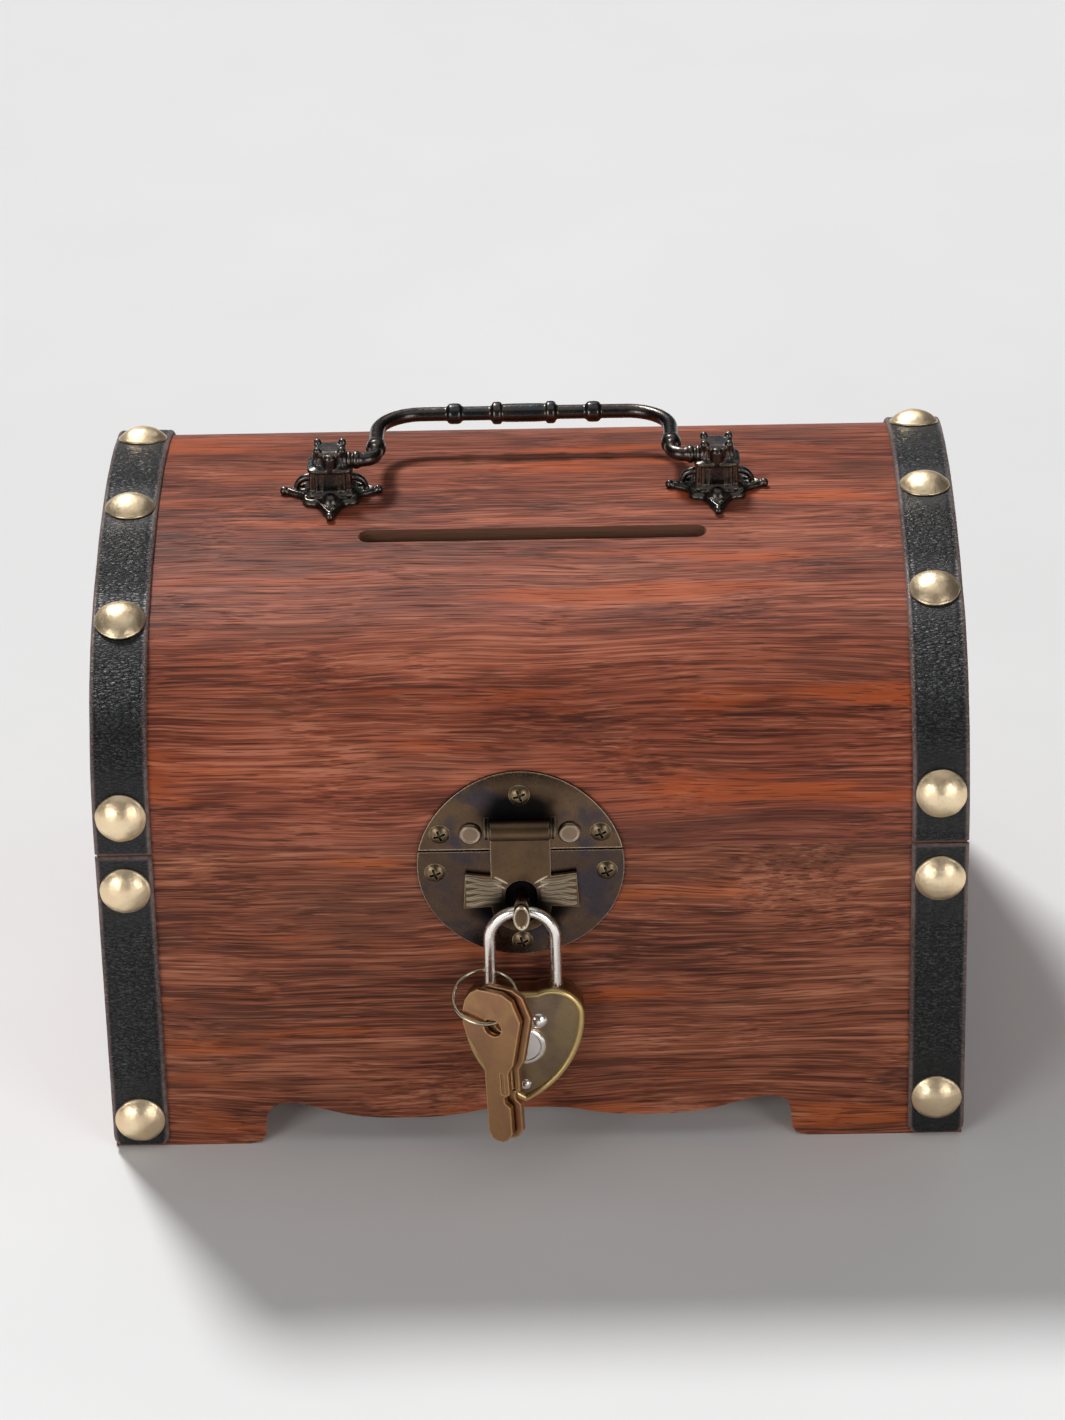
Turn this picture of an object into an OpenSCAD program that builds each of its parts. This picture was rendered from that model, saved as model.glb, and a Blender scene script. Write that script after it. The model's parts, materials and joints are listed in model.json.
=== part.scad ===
// Wooden money box: a small domed chest with leather straps, a hasp and a heart padlock.
// Millimetres. +Z up, +X to the right seen from the front, front facing -Y.
// Origin: centre of the bounding box in plan, on the plane the feet stand on.

/* [View] */
// One sub-part by name, or all

/* [Chest] */
// Outside width of the chest
box_w = 186; // [120:1:300]
// Outside depth of the chest
box_d = 140; // [90:1:220]
// Height of the base, floor to seam
base_h = 75; // [50:1:120]
// Thickness of the wall panels
wall = 6; // [4:0.5:10]
// Thickness of the bent lid shell
shell = 5; // [3:0.5:8]
// Thickness of the bottom panel
floor_t = 4; // [3:0.5:8]
// Height of the bottom panel's underside
floor_z = 12; // [10.6:0.2:20]
// Chest centre behind the origin
centre_y = 7.4; // [0:0.1:12]

/* [Lid profile] */
// Straight part of the lid above the seam
lid_straight = 6; // [2:0.5:20]
// Radius of the lid's shoulders
shoulder_r = 37.6; // [20:0.2:60]
// Angle the shoulder turns through
shoulder_a = 74.3; // [50:0.1:85]

/* [Money slot] */
// Length of the slot
slot_l = 76; // [60:1:110]
// Width of the slot
slot_w = 4.8; // [4:0.1:8]
// Slot centre in front of the lid's centreline
slot_y = 16; // [8:0.5:40]
// Slot centre to the right of the middle
slot_x = 1; // [-5:0.5:5]

/* [Bracket feet] */
// Inner edge of a front foot from the skirt's centre
foot_x = 57.6; // [40:0.2:80]
// Centre of the scalloped skirt
skirt_x = -2; // [-5:0.5:5]
// Length of a foot along the chest's side
side_foot = 24; // [12:1:40]

/* [Straps and studs] */
// Width of the leather straps
strap_w = 12.2; // [8:0.2:20]
// Thickness of the leather
strap_t = 1.2; // [0.8:0.1:2.5]
// Diameter of a stud's dome
stud_d = 11; // [8:0.2:14]
// Height of a stud's dome
stud_h = 2.6; // [1.5:0.1:4]
// Stud positions along the left lid strap, from the front seam
studs_left = [9.5, 53.5, 94, 136, 186]; // [0:0.5:200]
// Stud positions along the right lid strap
studs_right = [12, 59, 98, 140, 184]; // [0:0.5:200]
// Stud heights on the left base straps
studs_base_left = [66.6, 7.6]; // [0:0.2:75]
// Stud heights on the right base straps
studs_base_right = [66.4, 10.2]; // [0:0.2:75]

/* [Hasp] */
// Centre of the hasp left or right of the middle
hasp_x = -2.4; // [-6:0.1:6]
// Radius of the round hasp plate
hasp_r = 22.2; // [16:0.2:28]
// Centre of the round plate below the seam
hasp_drop = 4; // [0:0.5:10]
// Thickness of the plates
plate_t = 0.8; // [0.6:0.1:1.5]
// Width of the tongue
tongue_w = 12.9; // [8:0.1:18]
// Span of the tongue's wings
wing_w = 24.4; // [18:0.2:34]
// Hinge pin of the tongue above the seam
barrel_z = 6.3; // [5:0.1:10]
// Staple centre below the seam
staple_z = 12.7; // [10:0.1:16]

/* [Handle] */
// Distance between the two lugs
lug_span = 85; // [70:1:110]
// Lugs behind the lid's centreline
lug_y = 3; // [-10:0.5:10]
// Handle centre left or right of the middle
handle_x = -0.8; // [-4:0.1:4]
// Height of the handle's pivot above the lug's underside
pivot_h = 8.2; // [6:0.1:12]
// Thickness of the handle's rod
rod_d = 3.2; // [2.4:0.1:5]
// Reach of the handle from its pivot
bail_reach = 25; // [20:0.5:40]
// How far the handle droops behind its pivot at rest
bail_droop = 4; // [0:0.5:18]

/* [Padlock] */
// Thickness of the shackle's wire
wire_d = 2.6; // [2:0.1:4]
// Distance between the shackle's legs
leg_span = 14.1; // [12:0.1:18]
// Pivot of the shackle to the top of the case
lock_drop = 18.4; // [14:0.1:24]
// Thickness of the case
lock_t = 5.4; // [5:0.1:9]
// How far the case drops when it is unlocked
release = 6.5; // [5:0.1:8]
// Length of a key below its hole
key_len = 29; // [20:0.5:32]

/* [Rear hinges] */
// Distance of each hinge from the middle
hinge_x = 48; // [30:1:70]
// Length of each hinge
hinge_l = 22; // [14:1:34]
// Radius of the hinge knuckles
knuckle_r = 1.9; // [1.5:0.1:3]

/* [Hidden] */
$fn = 96;
front_y = centre_y - box_d / 2;
back_y = centre_y + box_d / 2;
shoulder_y = box_d / 2 - shoulder_r;
top_r = shoulder_r + shoulder_y / cos(shoulder_a);
top_cz = lid_straight + (shoulder_r - top_r) * sin(shoulder_a);
lid_h = top_cz + top_r;
shoulder_l = shoulder_r * shoulder_a * PI / 180;
half_l = lid_straight + shoulder_l + top_r * (90 - shoulder_a) * PI / 180;
glue = 0.05;
clear = 0.02;
strap_x = box_w / 2 + 0.4 - strap_w / 2;
// padlock
lock_y = front_y - 4.6;
lock_z = base_h - staple_z - 0.2;
wire_r = wire_d / 2;
leg_x = leg_span / 2;
case_z = 1 - lock_drop;
plug_z = case_z - 15.4;
bolt_z = case_z - 5.2;
lobe_x = 6.05;
lobe_z = -8;
lobe_r = 7;
flank_r = 25;
pin_x = 3.1;
pin_z = case_z - 9.4;
// key ring, in the padlock's frame
ring_r = 6.95;
ring_wire = 0.45;
ring_tilt = 66;
ring_c = [-8.2, -4.3, -lock_drop - 0.6];
ring_at = 25;
hang = [ring_c[0] + ring_r * sin(ring_at), ring_c[1] - ring_r * cos(ring_at) * sin(ring_tilt),
  ring_c[2] - ring_r * cos(ring_at) * cos(ring_tilt)];
wire_dir = [cos(ring_at), sin(ring_at) * sin(ring_tilt), sin(ring_at) * cos(ring_tilt)];
key_yaw = 27;
key_t = 1.4;
key_hole_r = 2.1;
key_gap = 1.9 / (wire_dir[0] * sin(key_yaw) + wire_dir[1] * cos(key_yaw));

// ---------- helpers ----------

// 2D drawing (x = Y, y = Z) pulled along +X
module along_x(len) {
  rotate([90, 0, 90]) linear_extrude(len) children();
}

// 2D drawing (x = X, y = Z) from y0 to y0 + len
module along_y(y0, len) {
  translate([0, y0 + len, 0]) rotate([90, 0, 0]) linear_extrude(len) children();
}

// The lid's section, drawn from its centreline and seam, set in by i
module lid2d(i = 0, z0 = 0) {
  r1 = shoulder_r - i;
  yt = shoulder_y + r1 * cos(shoulder_a);
  lap = 0.5;
  intersection() {
    translate([0, top_cz]) circle(r = top_r - i, $fn = 240);
    translate([-yt, z0]) square([2 * yt, 120]);
  }
  for (m = [0, 1]) mirror([m, 0]) {
    intersection() {
      translate([shoulder_y, lid_straight]) circle(r = r1, $fn = 160);
      translate([yt - lap, lid_straight - lap]) square([60, 60]);
    }
    translate([yt - lap, z0]) square([box_d / 2 - i - yt + lap, lid_straight - z0]);
  }
}

function lid_at(s) =
  s > half_l ? let (p = lid_at(2 * half_l - s)) [-p[0], p[1], 180 - p[2]]
  : s <= lid_straight ? [-box_d / 2, s, 0]
  : s <= lid_straight + shoulder_l
    ? let (e = (s - lid_straight) / shoulder_r * 180 / PI)
      [-shoulder_y - shoulder_r * cos(e), lid_straight + shoulder_r * sin(e), e]
  : let (e = shoulder_a + (s - lid_straight - shoulder_l) / top_r * 180 / PI)
      [-top_r * cos(e), top_cz + top_r * sin(e), e];

// Places children on the lid, s along the arch from the front seam, local +Z outwards
module on_lid(s, x) {
  p = lid_at(s);
  translate([x, centre_y + p[0], base_h + p[1]]) rotate([90 - p[2], 0, 0]) children();
}

module on_front(x, z) {
  translate([x, front_y, z]) rotate([90, 0, 0]) children();
}

module on_back(x, z) {
  translate([x, back_y, z]) rotate([-90, 0, 0]) children();
}

// Places children in the padlock's frame: origin at the shackle's bearing in the staple
module in_lock() {
  translate([hasp_x, lock_y, lock_z]) children();
}

module rod_x(r, x0, x1) {
  translate([x0, 0, 0]) rotate([0, 90, 0]) cylinder(r = r, h = x1 - x0);
}

module rod_y(r, y0, y1) {
  translate([0, y0, 0]) rotate([-90, 0, 0]) cylinder(r = r, h = y1 - y0);
}

// A low dome of radius r and height h standing on z = 0
module dome(r, h) {
  big = (r * r + h * h) / (2 * h);
  intersection() {
    translate([0, 0, h - big]) sphere(r = big);
    cylinder(r = r + 1, h = h + 1);
  }
}

// Raised cross-recess screw: head on z = 0, shank going down
module screw(head_r, head_h, shank_r, len) {
  difference() {
    union() {
      dome(head_r, head_h);
      translate([0, 0, -len]) cylinder(r = shank_r, h = len + 0.1);
    }
    for (a = [0, 90]) rotate([0, 0, a + 20])
      translate([-head_r * 0.58, -head_r * 0.13, head_h - 0.7]) cube([head_r * 1.16, head_r * 0.26, 1]);
  }
}

module screw_hole(shank_r, len) {
  translate([0, 0, -len]) cylinder(r = shank_r + clear, h = len + 2);
}

// Upholstery stud: dome on the strap, nail into the wood
module stud() {
  translate([0, 0, strap_t + 0.07]) dome(stud_d / 2, stud_h);
  translate([0, 0, -4.2]) cylinder(r = 0.8, h = 4.2 + strap_t + 0.6);
}

module stud_hole() {
  translate([0, 0, -4.3]) cylinder(r = 0.8 + clear, h = 8);
}

module lid_stud_places(side) {
  list = side < 0 ? studs_left : studs_right;
  for (s = list) on_lid(s, side * strap_x) children();
}

module base_stud_places(side, back) {
  list = side < 0 ? studs_base_left : studs_base_right;
  for (z = list) {
    if (back) on_back(side * strap_x, z) children();
    else on_front(side * strap_x, z) children();
  }
}

// ---------- wooden base ----------

// The scalloped lower edge between the front feet, as one closed cut
skirt = [
  [-foot_x - 4, -1], [-foot_x - 4, 0], [-foot_x - 1.2, 0.6], [-foot_x - 0.2, 2.4], [-foot_x, 5],
  [-foot_x + 0.3, 7.6], [-foot_x + 1.2, 9.5], [-foot_x + 2.8, 10.3], [-foot_x + 5, 10.6],
  [-foot_x + 7.6, 10.3], [-foot_x + 10.6, 9.4], [-foot_x + 14, 8.4], [-foot_x + 17.5, 7.4],
  [-foot_x + 21, 6.7], [-foot_x + 26, 6.3], [-foot_x + 32, 6.2], [-foot_x + 38, 6.4],
  [-16.4, 6.8], [-13.6, 7.3], [-10.8, 7.9], [-8, 8.3], [-4, 8.5], [0, 8.5]
];

module skirt2d() {
  translate([skirt_x, 0]) for (m = [0, 1]) mirror([m, 0])
    polygon(concat(skirt, [[0, -1]]));
}

module front_like_panel(y0) {
  along_y(y0, wall) difference() {
    translate([-box_w / 2, 0]) square([box_w, base_h]);
    skirt2d();
  }
}

module base_front_panel() {
  color("#8a4630") difference() {
    front_like_panel(front_y);
    for (side = [-1, 1]) base_stud_places(side, false) stud_hole();
    hasp_lower_screw_places() screw_hole(1, 4.6);
    translate([hasp_x, 0, base_h - staple_z]) rod_y(1.24, front_y - 1, front_y + 4.2);
  }
}

module base_back_panel() {
  color("#8a4630") difference() {
    front_like_panel(back_y - wall);
    for (side = [-1, 1]) base_stud_places(side, true) stud_hole();
    hinge_base_screw_places() screw_hole(0.9, 4.4);
  }
}

module side_panel(x0) {
  inner = box_d - 2 * wall;
  f = side_foot - wall;
  translate([x0, centre_y, 0]) along_x(wall) difference() {
    translate([-inner / 2, 0]) square([inner, base_h]);
    for (m = [0, 1]) mirror([m, 0]) {
      translate([-1, -1]) square([inner / 2 - f - 3, 9.4]);
      translate([inner / 2 - f - 4.1, -1]) square([4.1, 5.4]);
      intersection() {
        translate([inner / 2 - f - 4, 4.4]) circle(r = 4);
        translate([inner / 2 - f - 4.1, 4.3]) square([5, 5]);
      }
    }
  }
}

module base_left_panel() {
  color("#7d3e2a") side_panel(-box_w / 2);
}

module base_right_panel() {
  color("#7d3e2a") side_panel(box_w / 2 - wall);
}

module base_floor() {
  color("#b98a5c") translate([-box_w / 2 + wall, front_y + wall, floor_z])
    cube([box_w - 2 * wall, box_d - 2 * wall, floor_t]);
}

// ---------- wooden lid ----------

module lid_shell() {
  color("#9a4f35") difference() {
    translate([-box_w / 2, centre_y, base_h]) difference() {
      along_x(box_w) lid2d(0);
      translate([-1, 0, 0]) along_x(box_w + 2) lid2d(shell, -1);
    }
    translate([slot_x, centre_y - slot_y, base_h]) {
      translate([-slot_l / 2 + slot_w / 2, -slot_w / 2, 30]) cube([slot_l - slot_w, slot_w, 40]);
      for (e = [-1, 1]) translate([e * (slot_l - slot_w) / 2, 0, 30]) cylinder(d = slot_w, h = 40);
    }
    for (side = [-1, 1]) lid_stud_places(side) stud_hole();
    hasp_upper_screw_places() screw_hole(1, 4.2);
    hasp_rivet_places() screw_hole(1.2, 3.4);
    lug_places() translate([0, 0, -12]) cylinder(r = 1.6, h = 20);
    hinge_lid_screw_places() screw_hole(0.9, 4.2);
  }
}

module lid_end(x0) {
  translate([x0, centre_y, base_h]) along_x(wall) lid2d(shell + glue);
}

module lid_left_end() {
  color("#7d3e2a") lid_end(-box_w / 2);
}

module lid_right_end() {
  color("#7d3e2a") lid_end(box_w / 2 - wall);
}

// ---------- leather straps and studs ----------

module lid_strap(side) {
  difference() {
    translate([side * strap_x - strap_w / 2, centre_y, base_h]) difference() {
      along_x(strap_w) lid2d(-strap_t - glue, 0.3);
      translate([-1, 0, 0]) along_x(strap_w + 2) lid2d(-glue, -1);
    }
    lid_stud_places(side) stud_hole();
  }
}

module lid_strap_left() {
  color("#1d1c1e") lid_strap(-1);
}

module lid_strap_right() {
  color("#1d1c1e") lid_strap(1);
}

module base_strap(side, back) {
  r = 2.4;
  z0 = 0.5;
  z1 = base_h - 0.3;
  difference() {
    translate([side * strap_x, 0, 0]) along_y(back ? back_y : front_y - strap_t, strap_t) {
      translate([-strap_w / 2, z0 + r]) square([strap_w, z1 - z0 - r]);
      translate([-strap_w / 2 + r, z0]) square([strap_w - 2 * r, r]);
      for (e = [-1, 1]) intersection() {
        translate([e * (strap_w / 2 - r), z0 + r]) circle(r = r);
        translate([e * (strap_w / 2 - r / 2) - r / 2, z0]) square([r, r]);
      }
    }
    base_stud_places(side, back) stud_hole();
  }
}

module base_strap_front_left() {
  color("#1d1c1e") base_strap(-1, false);
}

module base_strap_front_right() {
  color("#1d1c1e") base_strap(1, false);
}

module base_strap_back_left() {
  color("#1d1c1e") base_strap(-1, true);
}

module base_strap_back_right() {
  color("#1d1c1e") base_strap(1, true);
}

module lid_studs() {
  color("#c9b27a") for (side = [-1, 1]) lid_stud_places(side) stud();
}

module base_studs() {
  color("#c9b27a") for (side = [-1, 1]) {
    base_stud_places(side, false) stud();
    base_stud_places(side, true) stud();
  }
}

// ---------- handle ----------

module lug_places() {
  for (side = [-1, 1])
    translate([handle_x + side * lug_span / 2, centre_y + lug_y, base_h + lid_h]) children();
}

// Cast lug: flared rosette, stepped post and a bored head, underside on z = 0
module lug(side) {
  difference() {
    union() {
      // rosette of four lobes with small finials
      translate([0, 0, 0.05]) {
        cylinder(r1 = 7.6, r2 = 7.2, h = 1.2);
        for (e = [-1, 1]) {
          translate([e * 5.6, 0, 0]) cylinder(r1 = 4, r2 = 3.6, h = 1.1);
          translate([0, e * 7, 0]) cylinder(r1 = 4.6, r2 = 4.2, h = 1.1);
          translate([e * 10, 0, 0]) cylinder(r = 0.9, h = 0.9);
          translate([0, e * 12.4, 0]) cylinder(r = 1, h = 0.9);
        }
      }
      // stepped post
      translate([-4.8, -3.5, 1]) cube([9.6, 7, 2.2]);
      translate([-4.2, -3, 3]) cube([8.4, 6, 2.6]);
      translate([-3.2, -2.7, 5.4]) cube([6.4, 5.4, 4]);
      translate([0, 0, pivot_h]) rod_x(2.7, -3.2, 3.2);
      for (e = [-1, 1], f = [-1, 1]) translate([e * 2.1, f * 1.5, 9]) cylinder(r = 0.9, h = 2.2);
    }
    // pivot bore, open towards the handle
    translate([0, 0, pivot_h]) rod_x(1.06, side < 0 ? -1 : -4, side < 0 ? 4 : 1);
    // tapped hole from below
    translate([0, 0, -1]) cylinder(r = 1.5 + clear, h = 6);
  }
}

module lug_left() {
  color("#4a3b28") translate([handle_x - lug_span / 2, centre_y + lug_y, base_h + lid_h]) lug(-1);
}

module lug_right() {
  color("#4a3b28") translate([handle_x + lug_span / 2, centre_y + lug_y, base_h + lid_h]) lug(1);
}

module lug_screws() {
  color("#8d8a80") lug_places() translate([0, 0, -shell - 1]) mirror([0, 0, 1]) screw(2.9, 1.6, 1.5, 10);
}

module lug_washers() {
  color("#a09c90") lug_places() translate([0, 0, -shell - 0.98]) difference() {
    cylinder(r = 4, h = 0.7);
    translate([0, 0, -1]) cylinder(r = 1.62, h = 3);
  }
}

// One quarter bend of the handle rod, a shade thicker than the straight runs that end inside it
module elbow(radius) {
  rotate_extrude(angle = 90) translate([radius, 0]) circle(r = rod_d / 2 + 0.05, $fn = 48);
}

// The handle in its own frame: pivot axis on X, rod reaching along +Y
module bail_shape() {
  r = rod_d / 2;
  end_x = lug_span / 2 - 3.2 - 0.35;
  arm_x = 32.6;
  e1 = 3;
  e2 = 10;
  lap = 0.2;
  for (m = [0, 1]) mirror([m, 0, 0]) {
    rod_x(1, end_x - 0.5, end_x + 3.2);
    rod_x(2, end_x - 1.1, end_x);
    rod_x(r * 0.8, arm_x + e1 - lap, end_x - 0.5);
    rod_x(2.05, arm_x + e1 + 0.4, arm_x + e1 + 1.9);
    translate([arm_x + e1, e1, 0]) rotate([0, 0, 180]) elbow(e1);
    translate([arm_x, e1 - lap, 0]) rotate([-90, 0, 0]) cylinder(r = r, h = bail_reach - e1 - e2 + 2 * lap);
    translate([arm_x, e1 + 3.4, 0]) rotate([90, 0, 0]) sphere(r = 2.2);
    translate([arm_x - e2, bail_reach - e2, 0]) elbow(e2);
    translate([15.5, bail_reach, 0]) rotate([0, 90, 0]) sphere(r = 2.3);
    translate([6, bail_reach, 0]) rotate([0, 90, 0]) sphere(r = 2.4);
  }
  translate([0, bail_reach, 0]) {
    rod_x(r, e2 - arm_x - lap, arm_x - e2 + lap);
    rod_x(r + 0.5, -6, 6);
  }
}

module bail() {
  color("#4a3b28") translate([handle_x, centre_y + lug_y, base_h + lid_h + pivot_h])
    rotate([-bail_droop, 0, 0]) bail_shape();
}

// ---------- hasp ----------

module hasp_upper_screw_places() {
  on_lid(13.1, hasp_x) children();
  for (e = [-1, 1]) on_lid(4.2, hasp_x + e * 17.2) children();
}

module hasp_rivet_places() {
  for (e = [-1, 1]) on_lid(4.3, hasp_x + e * 10.6) children();
}

module hasp_lower_screw_places() {
  for (e = [-1, 1]) on_front(hasp_x + e * 18.4, base_h - 5.4) children();
  on_front(hasp_x, base_h - 22.8) children();
}

module hasp_upper_plate() {
  ear = 0.9;
  color("#4d3f2b") difference() {
    union() {
      intersection() {
        translate([hasp_x - 30, centre_y, base_h]) difference() {
          along_x(60) lid2d(-plate_t - glue, 0.25);
          translate([-1, 0, 0]) along_x(62) lid2d(-glue, -1);
        }
        translate([hasp_x, 0, base_h - hasp_drop]) rod_y(hasp_r, front_y - 5, front_y + 20);
      }
      for (e = [-1, 1]) translate([hasp_x + e * (tongue_w / 2 + 0.2 + ear / 2) - ear / 2, 0, base_h + barrel_z]) {
        translate([0, front_y - 3.35, 0]) rod_x(1.9, 0, ear);
        translate([0, front_y - 3.35, -1.7]) cube([ear, 2.9, 3.4]);
      }
    }
    hasp_upper_screw_places() screw_hole(1, 2);
    hasp_rivet_places() screw_hole(1.2, 2);
    translate([hasp_x, front_y - 3.35, base_h + barrel_z]) rod_x(1 + clear, -12, 12);
  }
}

module hasp_pin() {
  color("#5a4b35") translate([hasp_x, front_y - 3.35, base_h + barrel_z])
    rod_x(1, -tongue_w / 2 - 1.2, tongue_w / 2 + 1.2);
}

module hasp_rivets() {
  color("#8a7650") hasp_rivet_places() translate([0, 0, plate_t + glue]) {
    difference() {
      union() {
        cylinder(r = 2.5, h = 0.5);
        translate([0, 0, 0.5]) cylinder(r1 = 2.5, r2 = 2.1, h = 0.4);
      }
      translate([0, 0, 0.7]) cylinder(r = 1.8, h = 1);
    }
    translate([0, 0, -4]) cylinder(r = 1.2, h = 4.1);
  }
}

// Flat drawing of the tongue below its barrel, z measured from the seam
module tongue2d() {
  hw = tongue_w / 2;
  hole_c = -(staple_z - 2.3);
  difference() {
    union() {
      translate([-hw, -13.2]) square([2 * hw, 13.2 + barrel_z]);
      translate([0, -13.2]) intersection() {
        circle(r = hw);
        translate([-hw, -hw]) square([2 * hw, hw]);
      }
      for (m = [0, 1]) mirror([m, 0])
        polygon([[hw - 0.5, -5.9], [wing_w / 2 - 0.3, -5.2], [wing_w / 2 + 0.3, -13.8], [hw - 0.5, -13.4]]);
    }
    // hole for the staple
    translate([0, hole_c]) circle(r = 3.4);
    translate([-3.4, hole_c - 4]) square([6.8, 4]);
    translate([0, hole_c - 4]) circle(r = 3.4);
  }
}

module hasp_tongue() {
  color("#4d3f2b") translate([hasp_x, 0, base_h]) difference() {
    union() {
      along_y(front_y - 2.15, 1) tongue2d();
      translate([0, front_y - 3.35, barrel_z]) rod_x(2.2, -tongue_w / 2, tongue_w / 2);
      // raised ribs on the wings
      for (m = [0, 1]) mirror([m, 0, 0]) for (k = [0:3])
        translate([tongue_w / 2 - 0.4, front_y - 2.5, -6.6 - k * 2]) rotate([0, -10 + k * 7, 0])
          cube([5.6, 0.4, 0.7]);
    }
    translate([0, front_y - 3.35, barrel_z]) rod_x(1.06, -12, 12);
  }
}

module hasp_lower_plate() {
  color("#4d3f2b") difference() {
    along_y(front_y - plate_t, plate_t) intersection() {
      translate([hasp_x, base_h - hasp_drop]) circle(r = hasp_r);
      translate([hasp_x - 30, base_h - 40]) square([60, 39.75]);
    }
    hasp_lower_screw_places() screw_hole(1, 2);
    translate([hasp_x, 0, base_h - staple_z]) rod_y(1.24, front_y - 2, front_y + 1);
  }
}

// A closed eye standing out of the lower plate on a riveted stem
module hasp_staple() {
  ro = 3.35;
  ri = 1.75;
  nose = 7.8;
  color("#57482f") translate([hasp_x, front_y, base_h - staple_z]) {
    intersection() {
      translate([-1.6, 0, 0]) along_x(3.2) difference() {
        union() {
          translate([-nose + ro, 0]) circle(r = ro);
          translate([-nose + ro, -ro]) square([nose - ro - plate_t - 0.02, 2 * ro]);
        }
        translate([-nose + ro, 0]) circle(r = ri);
        translate([-nose + ro, -ri]) square([nose - ro - plate_t - 1.4, 2 * ri]);
      }
      along_y(-nose - 1, nose + 1) {
        translate([-1.6, -ro + 1.6]) square([3.2, 2 * ro - 3.2]);
        for (e = [-1, 1]) translate([0, e * (ro - 1.6)]) circle(r = 1.6);
      }
    }
    rod_y(1.2, -plate_t - 0.8, 4);
  }
}

module hasp_upper_screws() {
  color("#6b5a3c") hasp_upper_screw_places() translate([0, 0, plate_t + glue]) screw(2.3, 1, 1, 4.9);
}

module hasp_lower_screws() {
  color("#6b5a3c") hasp_lower_screw_places() translate([0, 0, plate_t]) screw(2.3, 1, 1, 5.2);
}

// ---------- rear hinges ----------

hinge_ay = back_y + knuckle_r + 0.1;

module hinge_base_screw_places() {
  for (h = [-1, 1], e = [-1, 1]) on_back(h * hinge_x + e * 6.5, base_h - 6.6) children();
}

module hinge_lid_screw_places() {
  for (h = [-1, 1], e = [-1, 1]) on_lid(2 * half_l - 6.6, h * hinge_x + e * 6.5) children();
}

module hinge_base_leaves() {
  third = hinge_l / 3;
  color("#6b5a3c") for (h = [-1, 1]) translate([h * hinge_x, 0, 0]) difference() {
    union() {
      translate([-hinge_l / 2, back_y, base_h - 11]) cube([hinge_l, 0.8, 10.7 - knuckle_r]);
      for (e = [-1, 1]) translate([e * third - third / 2 + 0.1, 0, 0]) {
        translate([0, hinge_ay, base_h]) rod_x(knuckle_r, 0, third - 0.2);
        translate([0, back_y, base_h - 3]) cube([third - 0.2, 0.8, 2.6]);
      }
    }
    translate([0, hinge_ay, base_h]) rod_x(0.9 + clear, -20, 20);
    for (e = [-1, 1]) translate([e * 6.5, back_y - 1, base_h - 6.6]) rotate([-90, 0, 0])
      cylinder(r = 0.94, h = 4);
  }
}

module hinge_lid_leaves() {
  third = hinge_l / 3;
  color("#6b5a3c") difference() {
    for (h = [-1, 1]) translate([h * hinge_x, 0, 0]) {
      difference() {
        union() {
          intersection() {
            translate([-hinge_l / 2, centre_y, base_h]) difference() {
              along_x(hinge_l) lid2d(-0.8 - glue, knuckle_r + 0.3);
              translate([-1, 0, 0]) along_x(hinge_l + 2) lid2d(-glue, -1);
            }
            translate([-30, back_y - 10, base_h]) cube([60, 20, 11]);
          }
          translate([-third / 2 + 0.1, hinge_ay, base_h]) rod_x(knuckle_r, 0, third - 0.2);
          translate([-third / 2 + 0.1, back_y + glue, base_h + 0.4]) cube([third - 0.2, 0.8, 2.6]);
        }
        translate([0, hinge_ay, base_h]) rod_x(0.9 + 0.06, -20, 20);
      }
    }
    hinge_lid_screw_places() cylinder(r = 0.94, h = 4, center = true);
  }
}

module hinge_pins() {
  color("#8d8a80") for (h = [-1, 1]) translate([h * hinge_x, hinge_ay, base_h])
    rod_x(0.9, -hinge_l / 2 - 0.3, hinge_l / 2 + 0.3);
}

module hinge_base_screws() {
  color("#8d8a80") hinge_base_screw_places() translate([0, 0, 0.8]) screw(1.8, 0.8, 0.9, 5);
}

module hinge_lid_screws() {
  color("#8d8a80") hinge_lid_screw_places() translate([0, 0, 0.8 + glue]) screw(1.8, 0.8, 0.9, 4.8);
}

// ---------- padlock ----------

// Heart outline set in by i, top of the lobes at z = -1
module heart2d(i = 0) {
  for (m = [0, 1]) mirror([m, 0]) {
    intersection() {
      translate([lobe_x, lobe_z]) circle(r = lobe_r - i);
      translate([-1, lobe_z]) square([20, 12]);
    }
    translate([-0.01, lobe_z - 0.01]) square([lobe_x + 0.01, lobe_r - 0.8 - i + 0.01]);
  }
  // each flank leaves its lobe upright and bends in to the point
  intersection() {
    translate([lobe_x + lobe_r - flank_r, lobe_z]) circle(r = flank_r - i);
    translate([flank_r - lobe_x - lobe_r, lobe_z]) circle(r = flank_r - i);
    translate([-20, -40]) square([40, 40 + lobe_z]);
  }
}

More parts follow.
